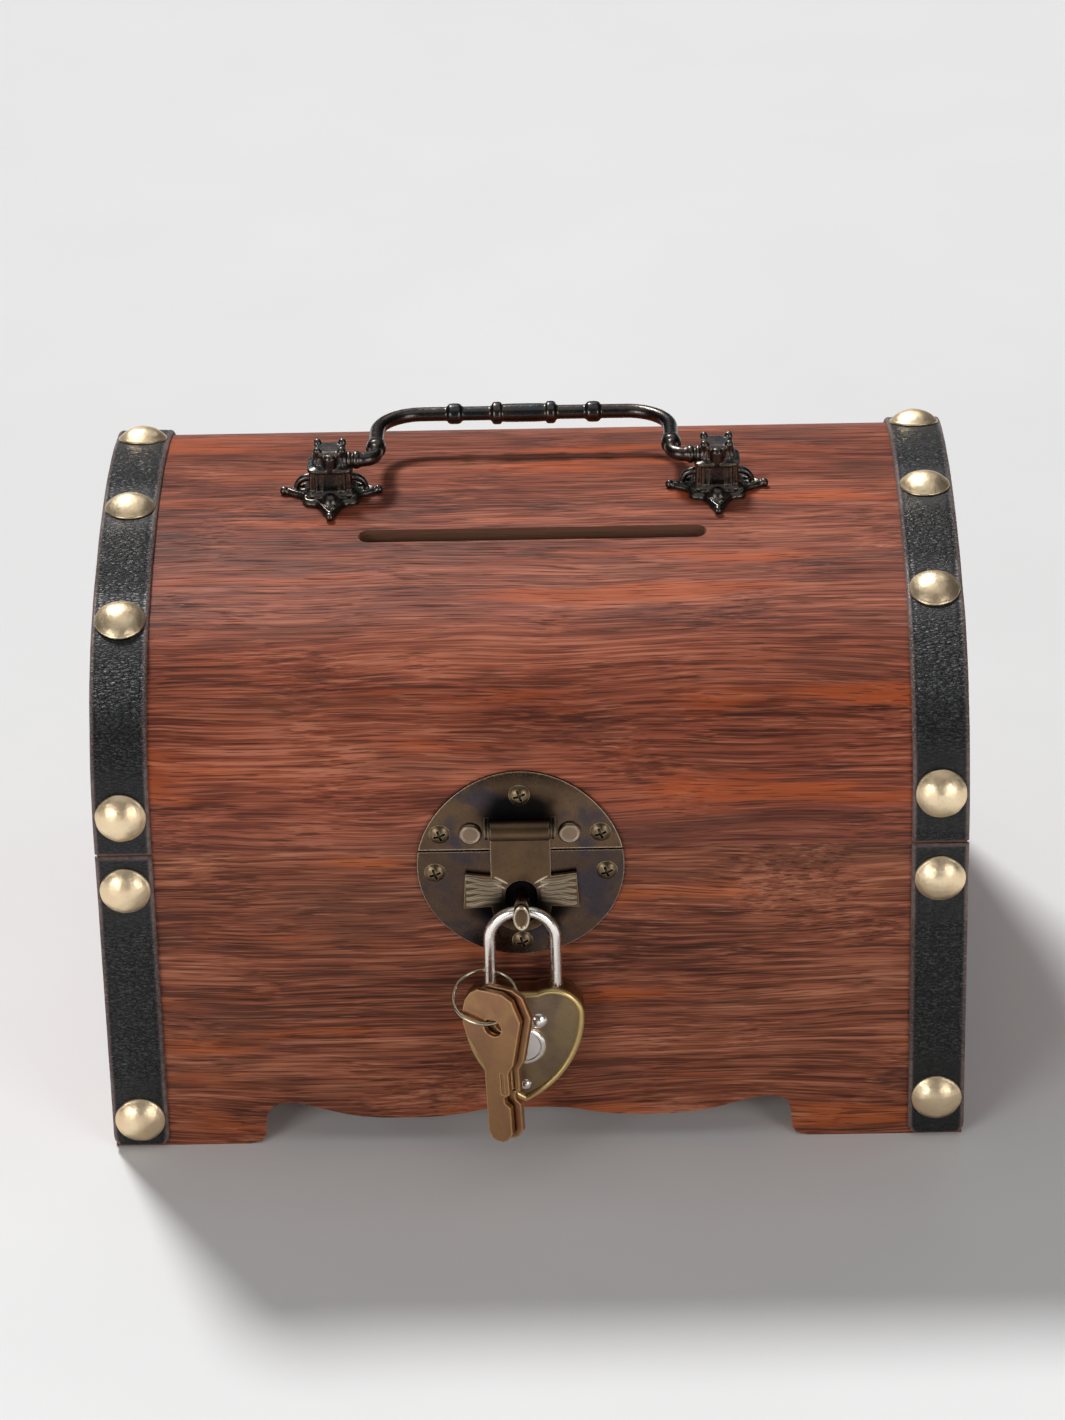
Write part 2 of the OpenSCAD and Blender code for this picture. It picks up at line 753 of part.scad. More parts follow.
module lock_case() {
  ft = -lock_t / 2;
  bt = lock_t / 2 - 1;
  color("#7a6840") in_lock() difference() {
    union() {
      translate([0, 0, case_z]) along_y(ft + 0.4, bt - ft - 0.4) heart2d(0);
      translate([0, 0, case_z]) along_y(ft, 0.5) difference() {
        heart2d(0.15);
        heart2d(1.3);
      }
    }
    // shackle bores
    for (e = [-1, 1]) translate([e * leg_x, 0, -lock_drop - (e < 0 ? 17.5 : 7.6)])
      cylinder(r = wire_r + 0.08, h = 30);
    // plug bore through the front
    translate([0, 0, plug_z]) rod_y(3.5, ft - 1, bt + 1);
    // channel for the bolt, open at the back
    translate([-3.8, -1, bolt_z - 0.95]) cube([3.8 + leg_x, 5, 1.9]);
    // pocket for the bolt's spring
    translate([-3.8, -1, bolt_z - 5.4]) cube([4.4, 5, 5]);
    // seat for the bezel
    translate([0, 0, plug_z]) rod_y(4.7, ft, ft + 1);
    // rivet hole
    translate([0, 0, case_z - 25.6]) rod_y(1 + clear, ft - 1, bt + 1);
    // blind hole for the pin above the bezel
    translate([pin_x, 0, pin_z]) rod_y(1 + clear, ft - 1, 0.6);
  }
}

module lock_back() {
  bt = lock_t / 2 - 1;
  color("#7a6840") in_lock() difference() {
    translate([0, 0, case_z]) along_y(bt, 1) heart2d(0);
    for (e = [-1, 1]) translate([e * leg_x, 0, -lock_drop - (e < 0 ? 17.5 : 7.6)])
      cylinder(r = wire_r + 0.08, h = 30);
    translate([0, 0, case_z - 25.6]) rod_y(1 + clear, bt - 1, bt + 2);
  }
}

module lock_bezel() {
  color("#c8c6c0") in_lock() translate([0, -lock_t / 2, plug_z]) difference() {
    union() {
      rod_y(4.65, 0.4, 1);
      rod_y(4.65, -0.1, 0.4);
      translate([0, -0.1, 0]) rotate([90, 0, 0]) cylinder(r1 = 4.65, r2 = 4.1, h = 0.4);
    }
    rod_y(3.5, -2, 3);
  }
}

module lock_rivet() {
  color("#b9b2a0") in_lock() translate([0, 0, case_z - 25.6]) {
    rod_y(1, -lock_t / 2, lock_t / 2);
    translate([0, -lock_t / 2 + 0.4, 0]) rotate([90, 0, 0]) dome(1.3, 0.7);
  }
  // dome-headed pin above the bezel
  color("#c8c6c0") in_lock() translate([pin_x, 0, pin_z]) {
    rod_y(1, -lock_t / 2, 0.5);
    translate([0, -lock_t / 2 + 0.4, 0]) rotate([90, 0, 0]) dome(1.9, 1);
  }
}

module lock_shackle() {
  color("#d9dadc") in_lock() difference() {
    union() {
      translate([0, 0, -leg_x]) rotate([90, 0, 0]) rotate_extrude(angle = 180)
        translate([leg_x, 0]) circle(r = wire_r, $fn = 64);
      for (e = [-1, 1]) translate([e * leg_x, 0, -lock_drop - (e < 0 ? 16.8 : 6.6)])
        cylinder(r = wire_r, h = lock_drop - leg_x + (e < 0 ? 16.8 : 6.6));
    }
    // catch notch on the short leg's inner side
    translate([leg_x - wire_r - 1, -3, bolt_z - 1.75]) cube([1.5, 6, 2.7]);
  }
}

module lock_plug() {
  color("#b4b2ac") in_lock() translate([0, 0, plug_z]) difference() {
    rod_y(3.42, -lock_t / 2 - 0.3, lock_t / 2 - 1.1);
    translate([-0.55, -lock_t / 2 - 1, -2.2]) cube([1.1, 3.8, 4.4]);
  }
}

module lock_bolt() {
  color("#a8a49a") in_lock() translate([0, 0, bolt_z])
    translate([0.4, -0.9, -0.8]) cube([leg_x - wire_r + 0.42 - 0.4, 2.4, 1.6]);
}

module lock_spring() {
  color("#a8a49a") in_lock() translate([-1.6, -0.8, bolt_z - 3.1]) rotate([-90, 0, 0]) difference() {
    cylinder(r = 1.9, h = 2.3);
    translate([0, 0, -1]) cylinder(r = 1.6, h = 5);
    translate([0.2, -3, -1]) cube([3, 3.4, 5]);
  }
}

// ---------- key ring and keys ----------

module key_ring() {
  color("#b9ad8c") in_lock() translate(ring_c) rotate([90 - ring_tilt, 0, 0])
    rotate_extrude() translate([ring_r, 0]) circle(r = ring_wire, $fn = 32);
}

// Outline of a key, origin at its hole, blade downwards
module key2d() {
  difference() {
    polygon([
      [-3.2, 9], [2.6, 9], [5, 7.6], [6.8, 2.6], [4.4, -8.6], [3, -11], [3, -16.4], [1.7, -17.4], [1.7, -18.8],
      [3, -19.8], [3, -key_len + 2.4], [1.8, -key_len + 0.6], [0.6, -key_len], [-0.8, -key_len],
      [-2, -key_len + 0.6], [-2.8, -key_len + 2.4], [-2.7, -11], [-3.4, -8.8], [-6.4, -3.6], [-7.2, -0.6],
      [-7.2, 2.6], [-6.4, 5.6], [-5, 7.8]
    ]);
    circle(r = key_hole_r, $fn = 48);
  }
}

module key_at(step) {
  in_lock() translate(hang) translate(step * key_gap * wire_dir)
    rotate([0, 0, -key_yaw]) translate([0, 0, -key_hole_r + ring_wire + 0.8]) rotate([0, -2.5, 0])
      difference() {
        along_y(-key_t / 2, key_t) key2d();
        translate([1.1, -key_t / 2 - 1, -16.6]) cube([0.7, 1.4, 5.4]);
      }
}

module key_front() {
  color("#b08a4c") key_at(-0.5);
}

module key_rear() {
  color("#a07c42") key_at(0.5);
}

// ---------- assembly ----------

base_front_panel();
base_back_panel();
base_left_panel();
base_right_panel();
base_floor();
lid_shell();
lid_left_end();
lid_right_end();
lid_strap_left();
lid_strap_right();
base_strap_front_left();
base_strap_front_right();
base_strap_back_left();
base_strap_back_right();
lid_studs();
base_studs();
lug_left();
lug_right();
lug_screws();
lug_washers();
bail();
hasp_upper_plate();
hasp_tongue();
hasp_pin();
hasp_rivets();
hasp_lower_plate();
hasp_staple();
hasp_upper_screws();
hasp_lower_screws();
hinge_base_leaves();
hinge_lid_leaves();
hinge_pins();
hinge_base_screws();
hinge_lid_screws();
lock_case();
lock_back();
lock_bezel();
lock_rivet();
lock_shackle();
lock_plug();
lock_bolt();
lock_spring();
key_ring();
key_front();
key_rear();
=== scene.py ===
"""Looks for the wooden money box: a domed chest with leather straps, a hasp and a heart padlock.

Everything is in metres in the CAD model's own frame: +X right, the front facing -Y, +Z up.
Hard parts keep their CAD shape and get softened edges; straps, studs, cast lugs, the handle
and the hasp tongue are modelled here; every surface has a procedural material.
"""

import json
import math

import bmesh
import bpy
from mathutils import Matrix, Vector, noise


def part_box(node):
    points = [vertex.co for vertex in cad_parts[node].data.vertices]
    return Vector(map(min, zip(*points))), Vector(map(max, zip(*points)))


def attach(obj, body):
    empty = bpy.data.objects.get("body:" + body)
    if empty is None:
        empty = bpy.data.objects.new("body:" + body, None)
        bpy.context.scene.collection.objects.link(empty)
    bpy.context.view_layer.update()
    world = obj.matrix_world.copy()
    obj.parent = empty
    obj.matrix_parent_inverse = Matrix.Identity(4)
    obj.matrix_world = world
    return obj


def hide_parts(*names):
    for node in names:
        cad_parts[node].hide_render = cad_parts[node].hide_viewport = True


MM = 0.001

# the studs' vector noise starts from the clock unless it is given a seed
noise.seed_set(7)

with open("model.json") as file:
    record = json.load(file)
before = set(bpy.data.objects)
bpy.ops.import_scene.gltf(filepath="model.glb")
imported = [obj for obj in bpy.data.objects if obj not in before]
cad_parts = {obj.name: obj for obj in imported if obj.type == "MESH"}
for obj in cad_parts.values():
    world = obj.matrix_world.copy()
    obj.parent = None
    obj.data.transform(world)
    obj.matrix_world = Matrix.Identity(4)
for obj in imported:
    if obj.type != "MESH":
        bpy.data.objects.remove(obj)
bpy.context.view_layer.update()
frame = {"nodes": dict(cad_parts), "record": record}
BODY_OF = {n: b for b, names in frame["record"]["behaviour"]["bodies"].items() for n in names}
SLOT_OF = {s["node"]: s["material_slot"] for s in frame["record"]["subparts"]}

# ---------- places taken from the frame ----------

FRONT_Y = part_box("base_front_panel")[0].y
BACK_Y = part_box("base_back_panel")[1].y
SEAM_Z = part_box("lid_shell")[0].z
LID_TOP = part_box("lid_shell")[1].z
MID_Y = (FRONT_Y + BACK_Y) / 2

# the same places in millimetres, for modelling
FRONT = FRONT_Y / MM
BACK = BACK_Y / MM
SEAM = SEAM_Z / MM
MIDDLE = MID_Y / MM

# the lid's section: upright feet, two shoulders and one wide arc between them
LID_STRAIGHT = 6.0
SHOULDER_R = 37.6
SHOULDER_A = math.radians(74.3)
SHOULDER_Y = (BACK - FRONT) / 2 - SHOULDER_R
TOP_R = SHOULDER_R + SHOULDER_Y / math.cos(SHOULDER_A)
TOP_CENTRE = LID_STRAIGHT + (SHOULDER_R - TOP_R) * math.sin(SHOULDER_A)
SHOULDER_L = SHOULDER_R * SHOULDER_A
HALF_L = LID_STRAIGHT + SHOULDER_L + TOP_R * (math.pi / 2 - SHOULDER_A)


def lid_at(s):
    """Point (y, z) of the lid's section s mm along it from the front seam, and its outward angle."""
    if s > HALF_L:
        y, z, out = lid_at(2 * HALF_L - s)
        return -y, z, math.pi - out
    if s <= LID_STRAIGHT:
        return FRONT - MIDDLE, s, 0.0
    if s <= LID_STRAIGHT + SHOULDER_L:
        out = (s - LID_STRAIGHT) / SHOULDER_R
        return -SHOULDER_Y - SHOULDER_R * math.cos(out), LID_STRAIGHT + SHOULDER_R * math.sin(out), out
    out = SHOULDER_A + (s - LID_STRAIGHT - SHOULDER_L) / TOP_R
    return -TOP_R * math.cos(out), TOP_CENTRE + TOP_R * math.sin(out), out


def on_lid(s, x):
    """Frame on the lid's surface: local Z outwards, local Y along the arch."""
    y, z, out = lid_at(s)
    return Matrix.Translation((x, MIDDLE + y, SEAM + z)) @ Matrix.Rotation(math.pi / 2 - out, 4, "X")


def on_front(x, z):
    return Matrix.Translation((x, FRONT, z)) @ Matrix.Rotation(math.pi / 2, 4, "X")


def on_back(x, z):
    return Matrix.Translation((x, BACK, z)) @ Matrix.Rotation(-math.pi / 2, 4, "X")


# ---------- camera, light and floor ----------

CAMERA_PLACE = Vector((0.0152, -1.0999, 0.7035))
CAMERA_PITCH = math.radians(29.82)
CAMERA_YAW = math.radians(0.79)
CAMERA_ROLL = math.radians(-1.37)
LENS_MM = 143.9


def add_camera():
    data = bpy.data.cameras.new("camera")
    data.sensor_fit = "VERTICAL"
    data.sensor_height = 36
    data.lens = LENS_MM
    data.clip_start = 0.01
    data.clip_end = 50
    camera = bpy.data.objects.new("camera", data)
    bpy.context.scene.collection.objects.link(camera)
    turn = (
        Matrix.Rotation(CAMERA_YAW, 4, "Z")
        @ Matrix.Rotation(math.pi / 2 - CAMERA_PITCH, 4, "X")
        @ Matrix.Rotation(CAMERA_ROLL, 4, "Z")
    )
    camera.matrix_world = Matrix.Translation(CAMERA_PLACE) @ turn
    bpy.context.scene.camera = camera


def add_area_light(name, place, target, size, power):
    data = bpy.data.lights.new(name, "AREA")
    data.shape = "RECTANGLE"
    data.size, data.size_y = size
    data.energy = power
    light = bpy.data.objects.new(name, data)
    light.location = place
    light.rotation_euler = (Vector(target) - Vector(place)).to_track_quat("-Z", "Y").to_euler()
    bpy.context.scene.collection.objects.link(light)


def add_sun(name, azimuth, elevation, strength, angle):
    """A soft sun standing at azimuth (0 is behind the object, 90 to its left) and elevation, in degrees."""
    data = bpy.data.lights.new(name, "SUN")
    data.energy = strength
    data.angle = math.radians(angle)
    sun = bpy.data.objects.new(name, data)
    a, e = math.radians(azimuth), math.radians(elevation)
    toward = Vector((-math.sin(a) * math.cos(e), math.cos(a) * math.cos(e), math.sin(e)))
    sun.rotation_euler = toward.to_track_quat("Z", "Y").to_euler()
    bpy.context.scene.collection.objects.link(sun)


def add_studio():
    world = bpy.data.worlds.new("studio")
    bpy.context.scene.world = world
    world.use_nodes = True
    tree = world.node_tree
    background = tree.nodes["Background"]
    coord = tree.nodes.new("ShaderNodeTexCoord")
    split = tree.nodes.new("ShaderNodeSeparateXYZ")
    ramp = tree.nodes.new("ShaderNodeValToRGB")
    tree.links.new(coord.outputs["Generated"], split.inputs[0])
    tree.links.new(split.outputs["Z"], ramp.inputs[0])
    tree.links.new(ramp.outputs[0], background.inputs[0])
    for stop, level in zip(ramp.color_ramp.elements, (0.25, 1.0)):
        stop.color = (level, level, level, 1)
    background.inputs["Strength"].default_value = 0.08
    add_sun("back_sun", azimuth=24, elevation=49, strength=2.72, angle=11)
    add_area_light("key", (-0.95, -1.25, 0.52), (0, 0, 0.07), (0.7, 0.6), 7.8)
    add_area_light("fill", (0.95, -1.25, 0.48), (0, 0, 0.07), (0.6, 0.6), 5.6)
    add_area_light("top", (0.0, -0.15, 1.45), (0, 0, 0), (1.8, 1.2), 3.7)
    add_area_light("back_fill", (0.0, 1.6, 1.4), (0, 1.3, 0), (1.8, 1.0), 5.0)


def add_floor():
    bm = bmesh.new()
    bmesh.ops.create_grid(bm, x_segments=8, y_segments=8, size=6)
    mesh = bpy.data.meshes.new("floor")
    bm.to_mesh(mesh)
    bm.free()
    floor = bpy.data.objects.new("floor", mesh)
    bpy.context.scene.collection.objects.link(floor)
    floor.data.materials.append(paper_floor())


# ---------- shader graphs ----------


class Shader:
    """A procedural material. Each method adds a node and gives back its output socket."""

    def __init__(self, name, **fixed):
        self.material = bpy.data.materials.new(name)
        self.material.use_nodes = True
        self.tree = self.material.node_tree
        self.surface = self.tree.nodes["Principled BSDF"]
        for socket, value in fixed.items():
            self.surface.inputs[socket.replace("_", " ")].default_value = value
        self.coord = self.tree.nodes.new("ShaderNodeTexCoord")
        self.place = self.vector("SCALE", self.coord.outputs["Object"], scale=1 / MM)

    def link(self, value, socket):
        if isinstance(value, bpy.types.NodeSocket):
            self.tree.links.new(value, socket)
        elif isinstance(value, (tuple, list)) and len(value) == 3 and socket.type == "RGBA":
            socket.default_value = (*value, 1)
        else:
            socket.default_value = value

    def vector(self, operation, a, b=None, scale=None):
        node = self.tree.nodes.new("ShaderNodeVectorMath")
        node.operation = operation
        self.link(a, node.inputs[0])
        if b is not None:
            self.link(b, node.inputs[1])
        if scale is not None:
            self.link(scale, node.inputs["Scale"])
        return node.outputs["Value" if operation in ("DOT_PRODUCT", "LENGTH") else "Vector"]

    def math(self, operation, a, b=0.0, c=0.0, clamp=False):
        node = self.tree.nodes.new("ShaderNodeMath")
        node.operation = operation
        node.use_clamp = clamp
        for socket, value in zip(node.inputs, (a, b, c)):
            self.link(value, socket)
        return node.outputs[0]

    def axes(self, vector):
        node = self.tree.nodes.new("ShaderNodeSeparateXYZ")
        self.link(vector, node.inputs[0])
        return node.outputs

    def join(self, x, y, z):
        node = self.tree.nodes.new("ShaderNodeCombineXYZ")
        for socket, value in zip(node.inputs, (x, y, z)):
            self.link(value, socket)
        return node.outputs[0]

    def noise(self, vector, scale=1.0, detail=2.0, roughness=0.5, distortion=0.0, color=False):
        node = self.tree.nodes.new("ShaderNodeTexNoise")
        self.link(vector, node.inputs["Vector"])
        for socket, value in (
            ("Scale", scale),
            ("Detail", detail),
            ("Roughness", roughness),
            ("Distortion", distortion),
        ):
            self.link(value, node.inputs[socket])
        return node.outputs["Color" if color else 0]

    def cells(self, vector, scale, feature, smooth=0.3):
        node = self.tree.nodes.new("ShaderNodeTexVoronoi")
        node.feature = feature
        self.link(vector, node.inputs["Vector"])
        self.link(scale, node.inputs["Scale"])
        if feature == "SMOOTH_F1":
            self.link(smooth, node.inputs["Smoothness"])
        return node.outputs["Distance"]

    def remap(self, value, low, high, to_low=0.0, to_high=1.0, smooth=False):
        node = self.tree.nodes.new("ShaderNodeMapRange")
        node.interpolation_type = "SMOOTHSTEP" if smooth else "LINEAR"
        self.link(value, node.inputs["Value"])
        for socket, number in zip(node.inputs[1:5], (low, high, to_low, to_high)):
            self.link(number, socket)
        return node.outputs[0]

    def ramp(self, value, stops):
        node = self.tree.nodes.new("ShaderNodeValToRGB")
        self.link(value, node.inputs[0])
        elements = node.color_ramp.elements
        while len(elements) < len(stops):
            elements.new(0.5)
        for element, (place, color) in zip(elements, stops):
            element.position = place
            element.color = (*color, 1)
        return node.outputs[0]

    def mix(self, factor, a, b, blend="MIX"):
        node = self.tree.nodes.new("ShaderNodeMix")
        node.data_type = "RGBA"
        node.blend_type = blend
        self.link(factor, node.inputs[0])
        self.link(a, node.inputs[6])
        self.link(b, node.inputs[7])
        return node.outputs[2]

    def edges(self, radius, gain=6.0):
        """1 along convex and concave edges within radius of the surface point, 0 on flats."""
        bevel = self.tree.nodes.new("ShaderNodeBevel")
        bevel.samples = 4
        bevel.inputs["Radius"].default_value = radius
        geometry = self.tree.nodes.new("ShaderNodeNewGeometry")
        same = self.vector("DOT_PRODUCT", bevel.outputs[0], geometry.outputs["Normal"])
        return self.math("MULTIPLY", self.math("SUBTRACT", 1.0, same), gain, clamp=True)

    def recess(self, distance, gain=1.6):
        """1 in the piece's own hollows within distance, 0 in the open."""
        occlusion = self.tree.nodes.new("ShaderNodeAmbientOcclusion")
        occlusion.samples = 4
        occlusion.only_local = True
        occlusion.inputs["Distance"].default_value = distance
        return self.math("MULTIPLY", self.math("SUBTRACT", 1.0, occlusion.outputs["AO"]), gain, clamp=True)

    def bump(self, height, distance, strength=1.0, under=None):
        node = self.tree.nodes.new("ShaderNodeBump")
        node.inputs["Strength"].default_value = strength
        node.inputs["Distance"].default_value = distance
        self.link(height, node.inputs["Height"])
        if under is not None:
            self.link(under, node.inputs["Normal"])
        return node.outputs[0]

    def attribute(self, name):
        node = self.tree.nodes.new("ShaderNodeAttribute")
        node.attribute_name = name
        return node.outputs["Fac"]

    def finish(self, **outputs):
        for socket, value in outputs.items():
            self.link(value, self.surface.inputs[socket.replace("_", " ")])
        return self.material


def shade(color, factor):
    return tuple(c * factor for c in color)


# ---------- materials ----------


def paper_floor():
    s = Shader("floor_paper", Specular_IOR_Level=0.15)
    mottled = s.noise(s.place, 0.02, 3)
    return s.finish(
        Base_Color=s.ramp(mottled, [(0.3, (0.80, 0.80, 0.80)), (0.7, (0.82, 0.82, 0.82))]),
        Roughness=s.remap(mottled, 0, 1, 0.75, 0.9),
    )


def wood(name, grain="X", tint=(1, 1, 1), dark=1.0, seed=0.0, bare_faces="inner", lid=False):
    """Stained open-grained timber, grain along one axis, bare on its inner faces or on all of them."""
    s = Shader(name, Specular_IOR_Level=0.13)
    x, y, z = s.axes(s.vector("ADD", s.place, (seed, seed * 0.7, seed * 1.3)))
    if grain == "Y":
        x, y = y, x
    # the grain lines wander slowly along the board
    slow = s.join(s.math("MULTIPLY", x, 0.012), s.math("MULTIPLY", y, 0.03), s.math("MULTIPLY", z, 0.03))
    drift = s.noise(slow, 1, 2, 0.5, color=True)
    wander = s.vector("SCALE", s.vector("SUBTRACT", drift, (0.5, 0.5, 0.5)), scale=8.0)
    _, wy, wz = s.axes(wander)
    across_y, across_z = s.math("ADD", y, wy), s.math("ADD", z, wz)

    def along(stretch, across):
        """Coordinates of a layer of grain: features 1/stretch mm long and 1/across mm wide."""
        return s.join(
            s.math("MULTIPLY", x, stretch),
            s.math("MULTIPLY", across_y, across),
            s.math("MULTIPLY", across_z, across),
        )

    bands = s.noise(along(0.011, 0.10), 1, 2, 0.5)
    streaks = s.noise(along(0.018, 0.74), 1, 4, 0.70)
    lines = s.noise(along(0.026, 1.75), 1, 3, 0.65)
    fibre = s.noise(along(0.11, 3.6), 1, 3, 0.6)
    pores = s.remap(s.noise(along(0.075, 2.7), 1, 1, 0.5), 0.60, 0.67, smooth=True)
    pale = s.remap(s.noise(along(0.040, 2.4), 1, 2, 0.5), 0.58, 0.68, smooth=True)
    blotch = s.noise(along(0.020, 0.062), 1, 3, 0.6, 0.6)
    # flame figure: contour lines of a slow, stretched height field, showing in patches only
    hill = s.noise(along(0.010, 0.05), 1, 1, 0.4)
    contour = s.math("SINE", s.math("MULTIPLY_ADD", hill, 88.0, s.math("MULTIPLY", streaks, 2.4)))
    patch = s.remap(s.noise(along(0.013, 0.026), 1, 1), 0.46, 0.60, smooth=True)
    figure = s.math("MULTIPLY", s.remap(contour, -1, 1), patch)

    tone = s.math("MULTIPLY", s.remap(streaks, 0.34, 0.66), 0.34)
    tone = s.math("MULTIPLY_ADD", s.remap(bands, 0.3, 0.7), 0.26, tone)
    tone = s.math("MULTIPLY_ADD", s.remap(lines, 0.42, 0.58, smooth=True), 0.26, tone)
    tone = s.math("MULTIPLY_ADD", s.remap(blotch, 0.3, 0.7), 0.16, tone)
    tone = s.math("SUBTRACT", tone, s.math("MULTIPLY", figure, 0.13))
    colour = s.ramp(
        s.remap(tone, 0.16, 0.80),
        [
            (0.0, shade((0.088, 0.032, 0.022), dark)),
            (0.28, shade((0.180, 0.060, 0.040), dark)),
            (0.52, shade((0.290, 0.097, 0.062), dark)),
            (0.78, shade((0.410, 0.150, 0.094), dark)),
            (1.0, shade((0.560, 0.250, 0.170), dark)),
        ],
    )
    # patches where the stain went on browner, and others where it glows orange
    browner = s.remap(s.noise(along(0.024, 0.085), 1, 2, 0.6), 0.52, 0.66, smooth=True)
    colour = s.mix(s.math("MULTIPLY", browner, 0.45), colour, shade((0.150, 0.066, 0.050), dark))
    orange = s.remap(s.noise(along(0.017, 0.12), 1, 2, 0.5), 0.56, 0.70, smooth=True)
    colour = s.mix(s.math("MULTIPLY", orange, 0.62), colour, shade((0.58, 0.150, 0.046), dark))
    colour = s.mix(s.math("MULTIPLY", pale, 0.42), colour, shade((0.64, 0.31, 0.21), dark))
    colour = s.mix(1.0, colour, tint, "MULTIPLY")
    colour = s.mix(s.math("MULTIPLY", pores, 0.60), colour, shade((0.052, 0.019, 0.014), dark))
    if lid:
        # the lid is darker along its bottom, near the seam
        _, _, up = s.axes(s.place)
        darker_near_seam = s.remap(s.math("MULTIPLY_ADD", bands, 10.0, up), SEAM + 5, SEAM + 20, 0.36, 0.0, smooth=True)
        colour = s.mix(darker_near_seam, colour, (0.135, 0.050, 0.036))
    worn = s.math("MULTIPLY", s.edges(0.9 * MM, 3.0), s.remap(s.noise(s.place, 0.22, 3), 0.4, 0.65))
    colour = s.mix(s.math("MULTIPLY", worn, 0.45), colour, (0.40, 0.19, 0.12))
    rough = s.math("MULTIPLY_ADD", lines, 0.22, s.math("MULTIPLY_ADD", pores, 0.2, 0.36))
    # faces that look towards the middle of the box, and the walls of cuts, are bare plywood
    middle = (0, MIDDLE, 60.0)
    outward = s.vector(
        "DOT_PRODUCT",
        s.coord.outputs["Normal"],
        s.vector("NORMALIZE", s.vector("SUBTRACT", s.place, middle)),
    )
    _, own_y, own_z = s.axes(s.place)
    off_seam = s.math("GREATER_THAN", s.math("ABSOLUTE", s.math("SUBTRACT", own_z, SEAM)), 0.9)
    inner = s.math("MULTIPLY", s.math("LESS_THAN", outward, 0.33), off_seam)
    bare = inner if bare_faces == "inner" else 1.0
    plain = s.ramp(
        s.remap(s.math("MULTIPLY_ADD", lines, 0.6, s.math("MULTIPLY", bands, 0.5)), 0.35, 0.75),
        [(0, (0.34, 0.185, 0.11)), (0.5, (0.49, 0.29, 0.19)), (1, (0.60, 0.39, 0.27))],
    )
    if lid:
        # plies show as bands at each depth below the top arc, and stain soaks into the outermost
        off_y = s.math("SUBTRACT", own_y, MIDDLE)
        off_z = s.math("SUBTRACT", own_z, SEAM + TOP_CENTRE)
        off_centre = s.join(0.0, off_y, off_z)
        depth = s.math("SUBTRACT", TOP_R, s.vector("LENGTH", off_centre))
        ply = s.math("PINGPONG", s.math("ADD", depth, s.math("MULTIPLY", streaks, 0.3)), 1.25)
        plain = s.mix(s.remap(ply, 0.35, 0.75, 0.0, 0.55), plain, (0.23, 0.115, 0.060))
        plain = s.mix(s.remap(depth, 0.2, 1.0, 0.85, 0.0), plain, (0.34, 0.13, 0.085))
        # painted shade: the walls of the slot are painted the dark brown of the stain
        cut = s.math("GREATER_THAN", outward, -0.3)
        plain = s.mix(s.math("MULTIPLY", cut, 0.8), plain, (0.135, 0.058, 0.036))
    colour = s.mix(bare, colour, plain)
    rough = s.math("MULTIPLY_ADD", bare, 0.22, rough)
    height = s.math("MULTIPLY_ADD", lines, 0.6, s.math("MULTIPLY", fibre, 0.35))
    height = s.math("SUBTRACT", height, s.math("MULTIPLY", pores, 0.8))
    return s.finish(Base_Color=colour, Roughness=rough, Normal=s.bump(height, 0.12 * MM, 0.9))


def leather(name):
    """Black pebbled leather with painted highlights along its grain's ridges and a paler, rubbed cut edge."""
    s = Shader(name, Specular_IOR_Level=0.42)
    stretched = s.vector("MULTIPLY", s.place, (0.62, 1.35, 1.35))
    bent = s.vector("ADD", stretched, s.vector("SCALE", s.noise(s.place, 1.1, 2, color=True), scale=0.7))
    pebble = s.cells(bent, 1.05, "SMOOTH_F1", 0.25)
    creases = s.remap(s.cells(bent, 1.05, "DISTANCE_TO_EDGE"), 0.0, 0.16, 0, 1, smooth=True)
    folds = s.noise(bent, 0.9, 3, 0.6)
    pressed = s.attribute("pressed")
    loose = s.math("SUBTRACT", 1.0, pressed)
    # painted highlight: thin bright wormy lines stand for light caught on the grain's ridges; they are raised
    # a little too, but not on the pressed leather round the studs
    off_line = s.math("ABSOLUTE", s.math("SUBTRACT", s.noise(bent, 0.85, 2, 0.5), 0.5))
    highlit_ridges = s.math("MULTIPLY", s.remap(off_line, 0.0, 0.040, 1.0, 0.0, smooth=True), loose)
    height = s.math("MULTIPLY_ADD", creases, 0.8, s.math("SUBTRACT", 0.6, pebble))
    height = s.math("MULTIPLY", s.math("MULTIPLY_ADD", folds, 0.5, height), s.remap(pressed, 0, 1, 1.4, 0.22))
    height = s.math("MULTIPLY_ADD", highlit_ridges, 0.5, height)
    colour = s.mix(creases, (0.0020, 0.0020, 0.0024), (0.0088, 0.0092, 0.0098))
    rubbed = s.math("MULTIPLY", s.remap(s.noise(s.place, 0.5, 4, 0.65), 0.52, 0.70), creases)
    colour = s.mix(s.math("MULTIPLY", rubbed, 0.40), colour, (0.045, 0.046, 0.047))
    colour = s.mix(s.math("MULTIPLY", highlit_ridges, 0.62), colour, (0.105, 0.108, 0.110))
    edge = s.attribute("edge")
    fray = s.remap(s.noise(s.place, 0.8, 3, 0.6), 0.3, 0.7, 0.45, 1.0)
    colour = s.mix(s.math("MULTIPLY", edge, fray), colour, (0.270, 0.190, 0.175))
    return s.finish(
        Base_Color=colour,
        Roughness=s.remap(creases, 0, 1, 0.72, 0.42),
        Normal=s.bump(height, 0.24 * MM, 1.0),
    )


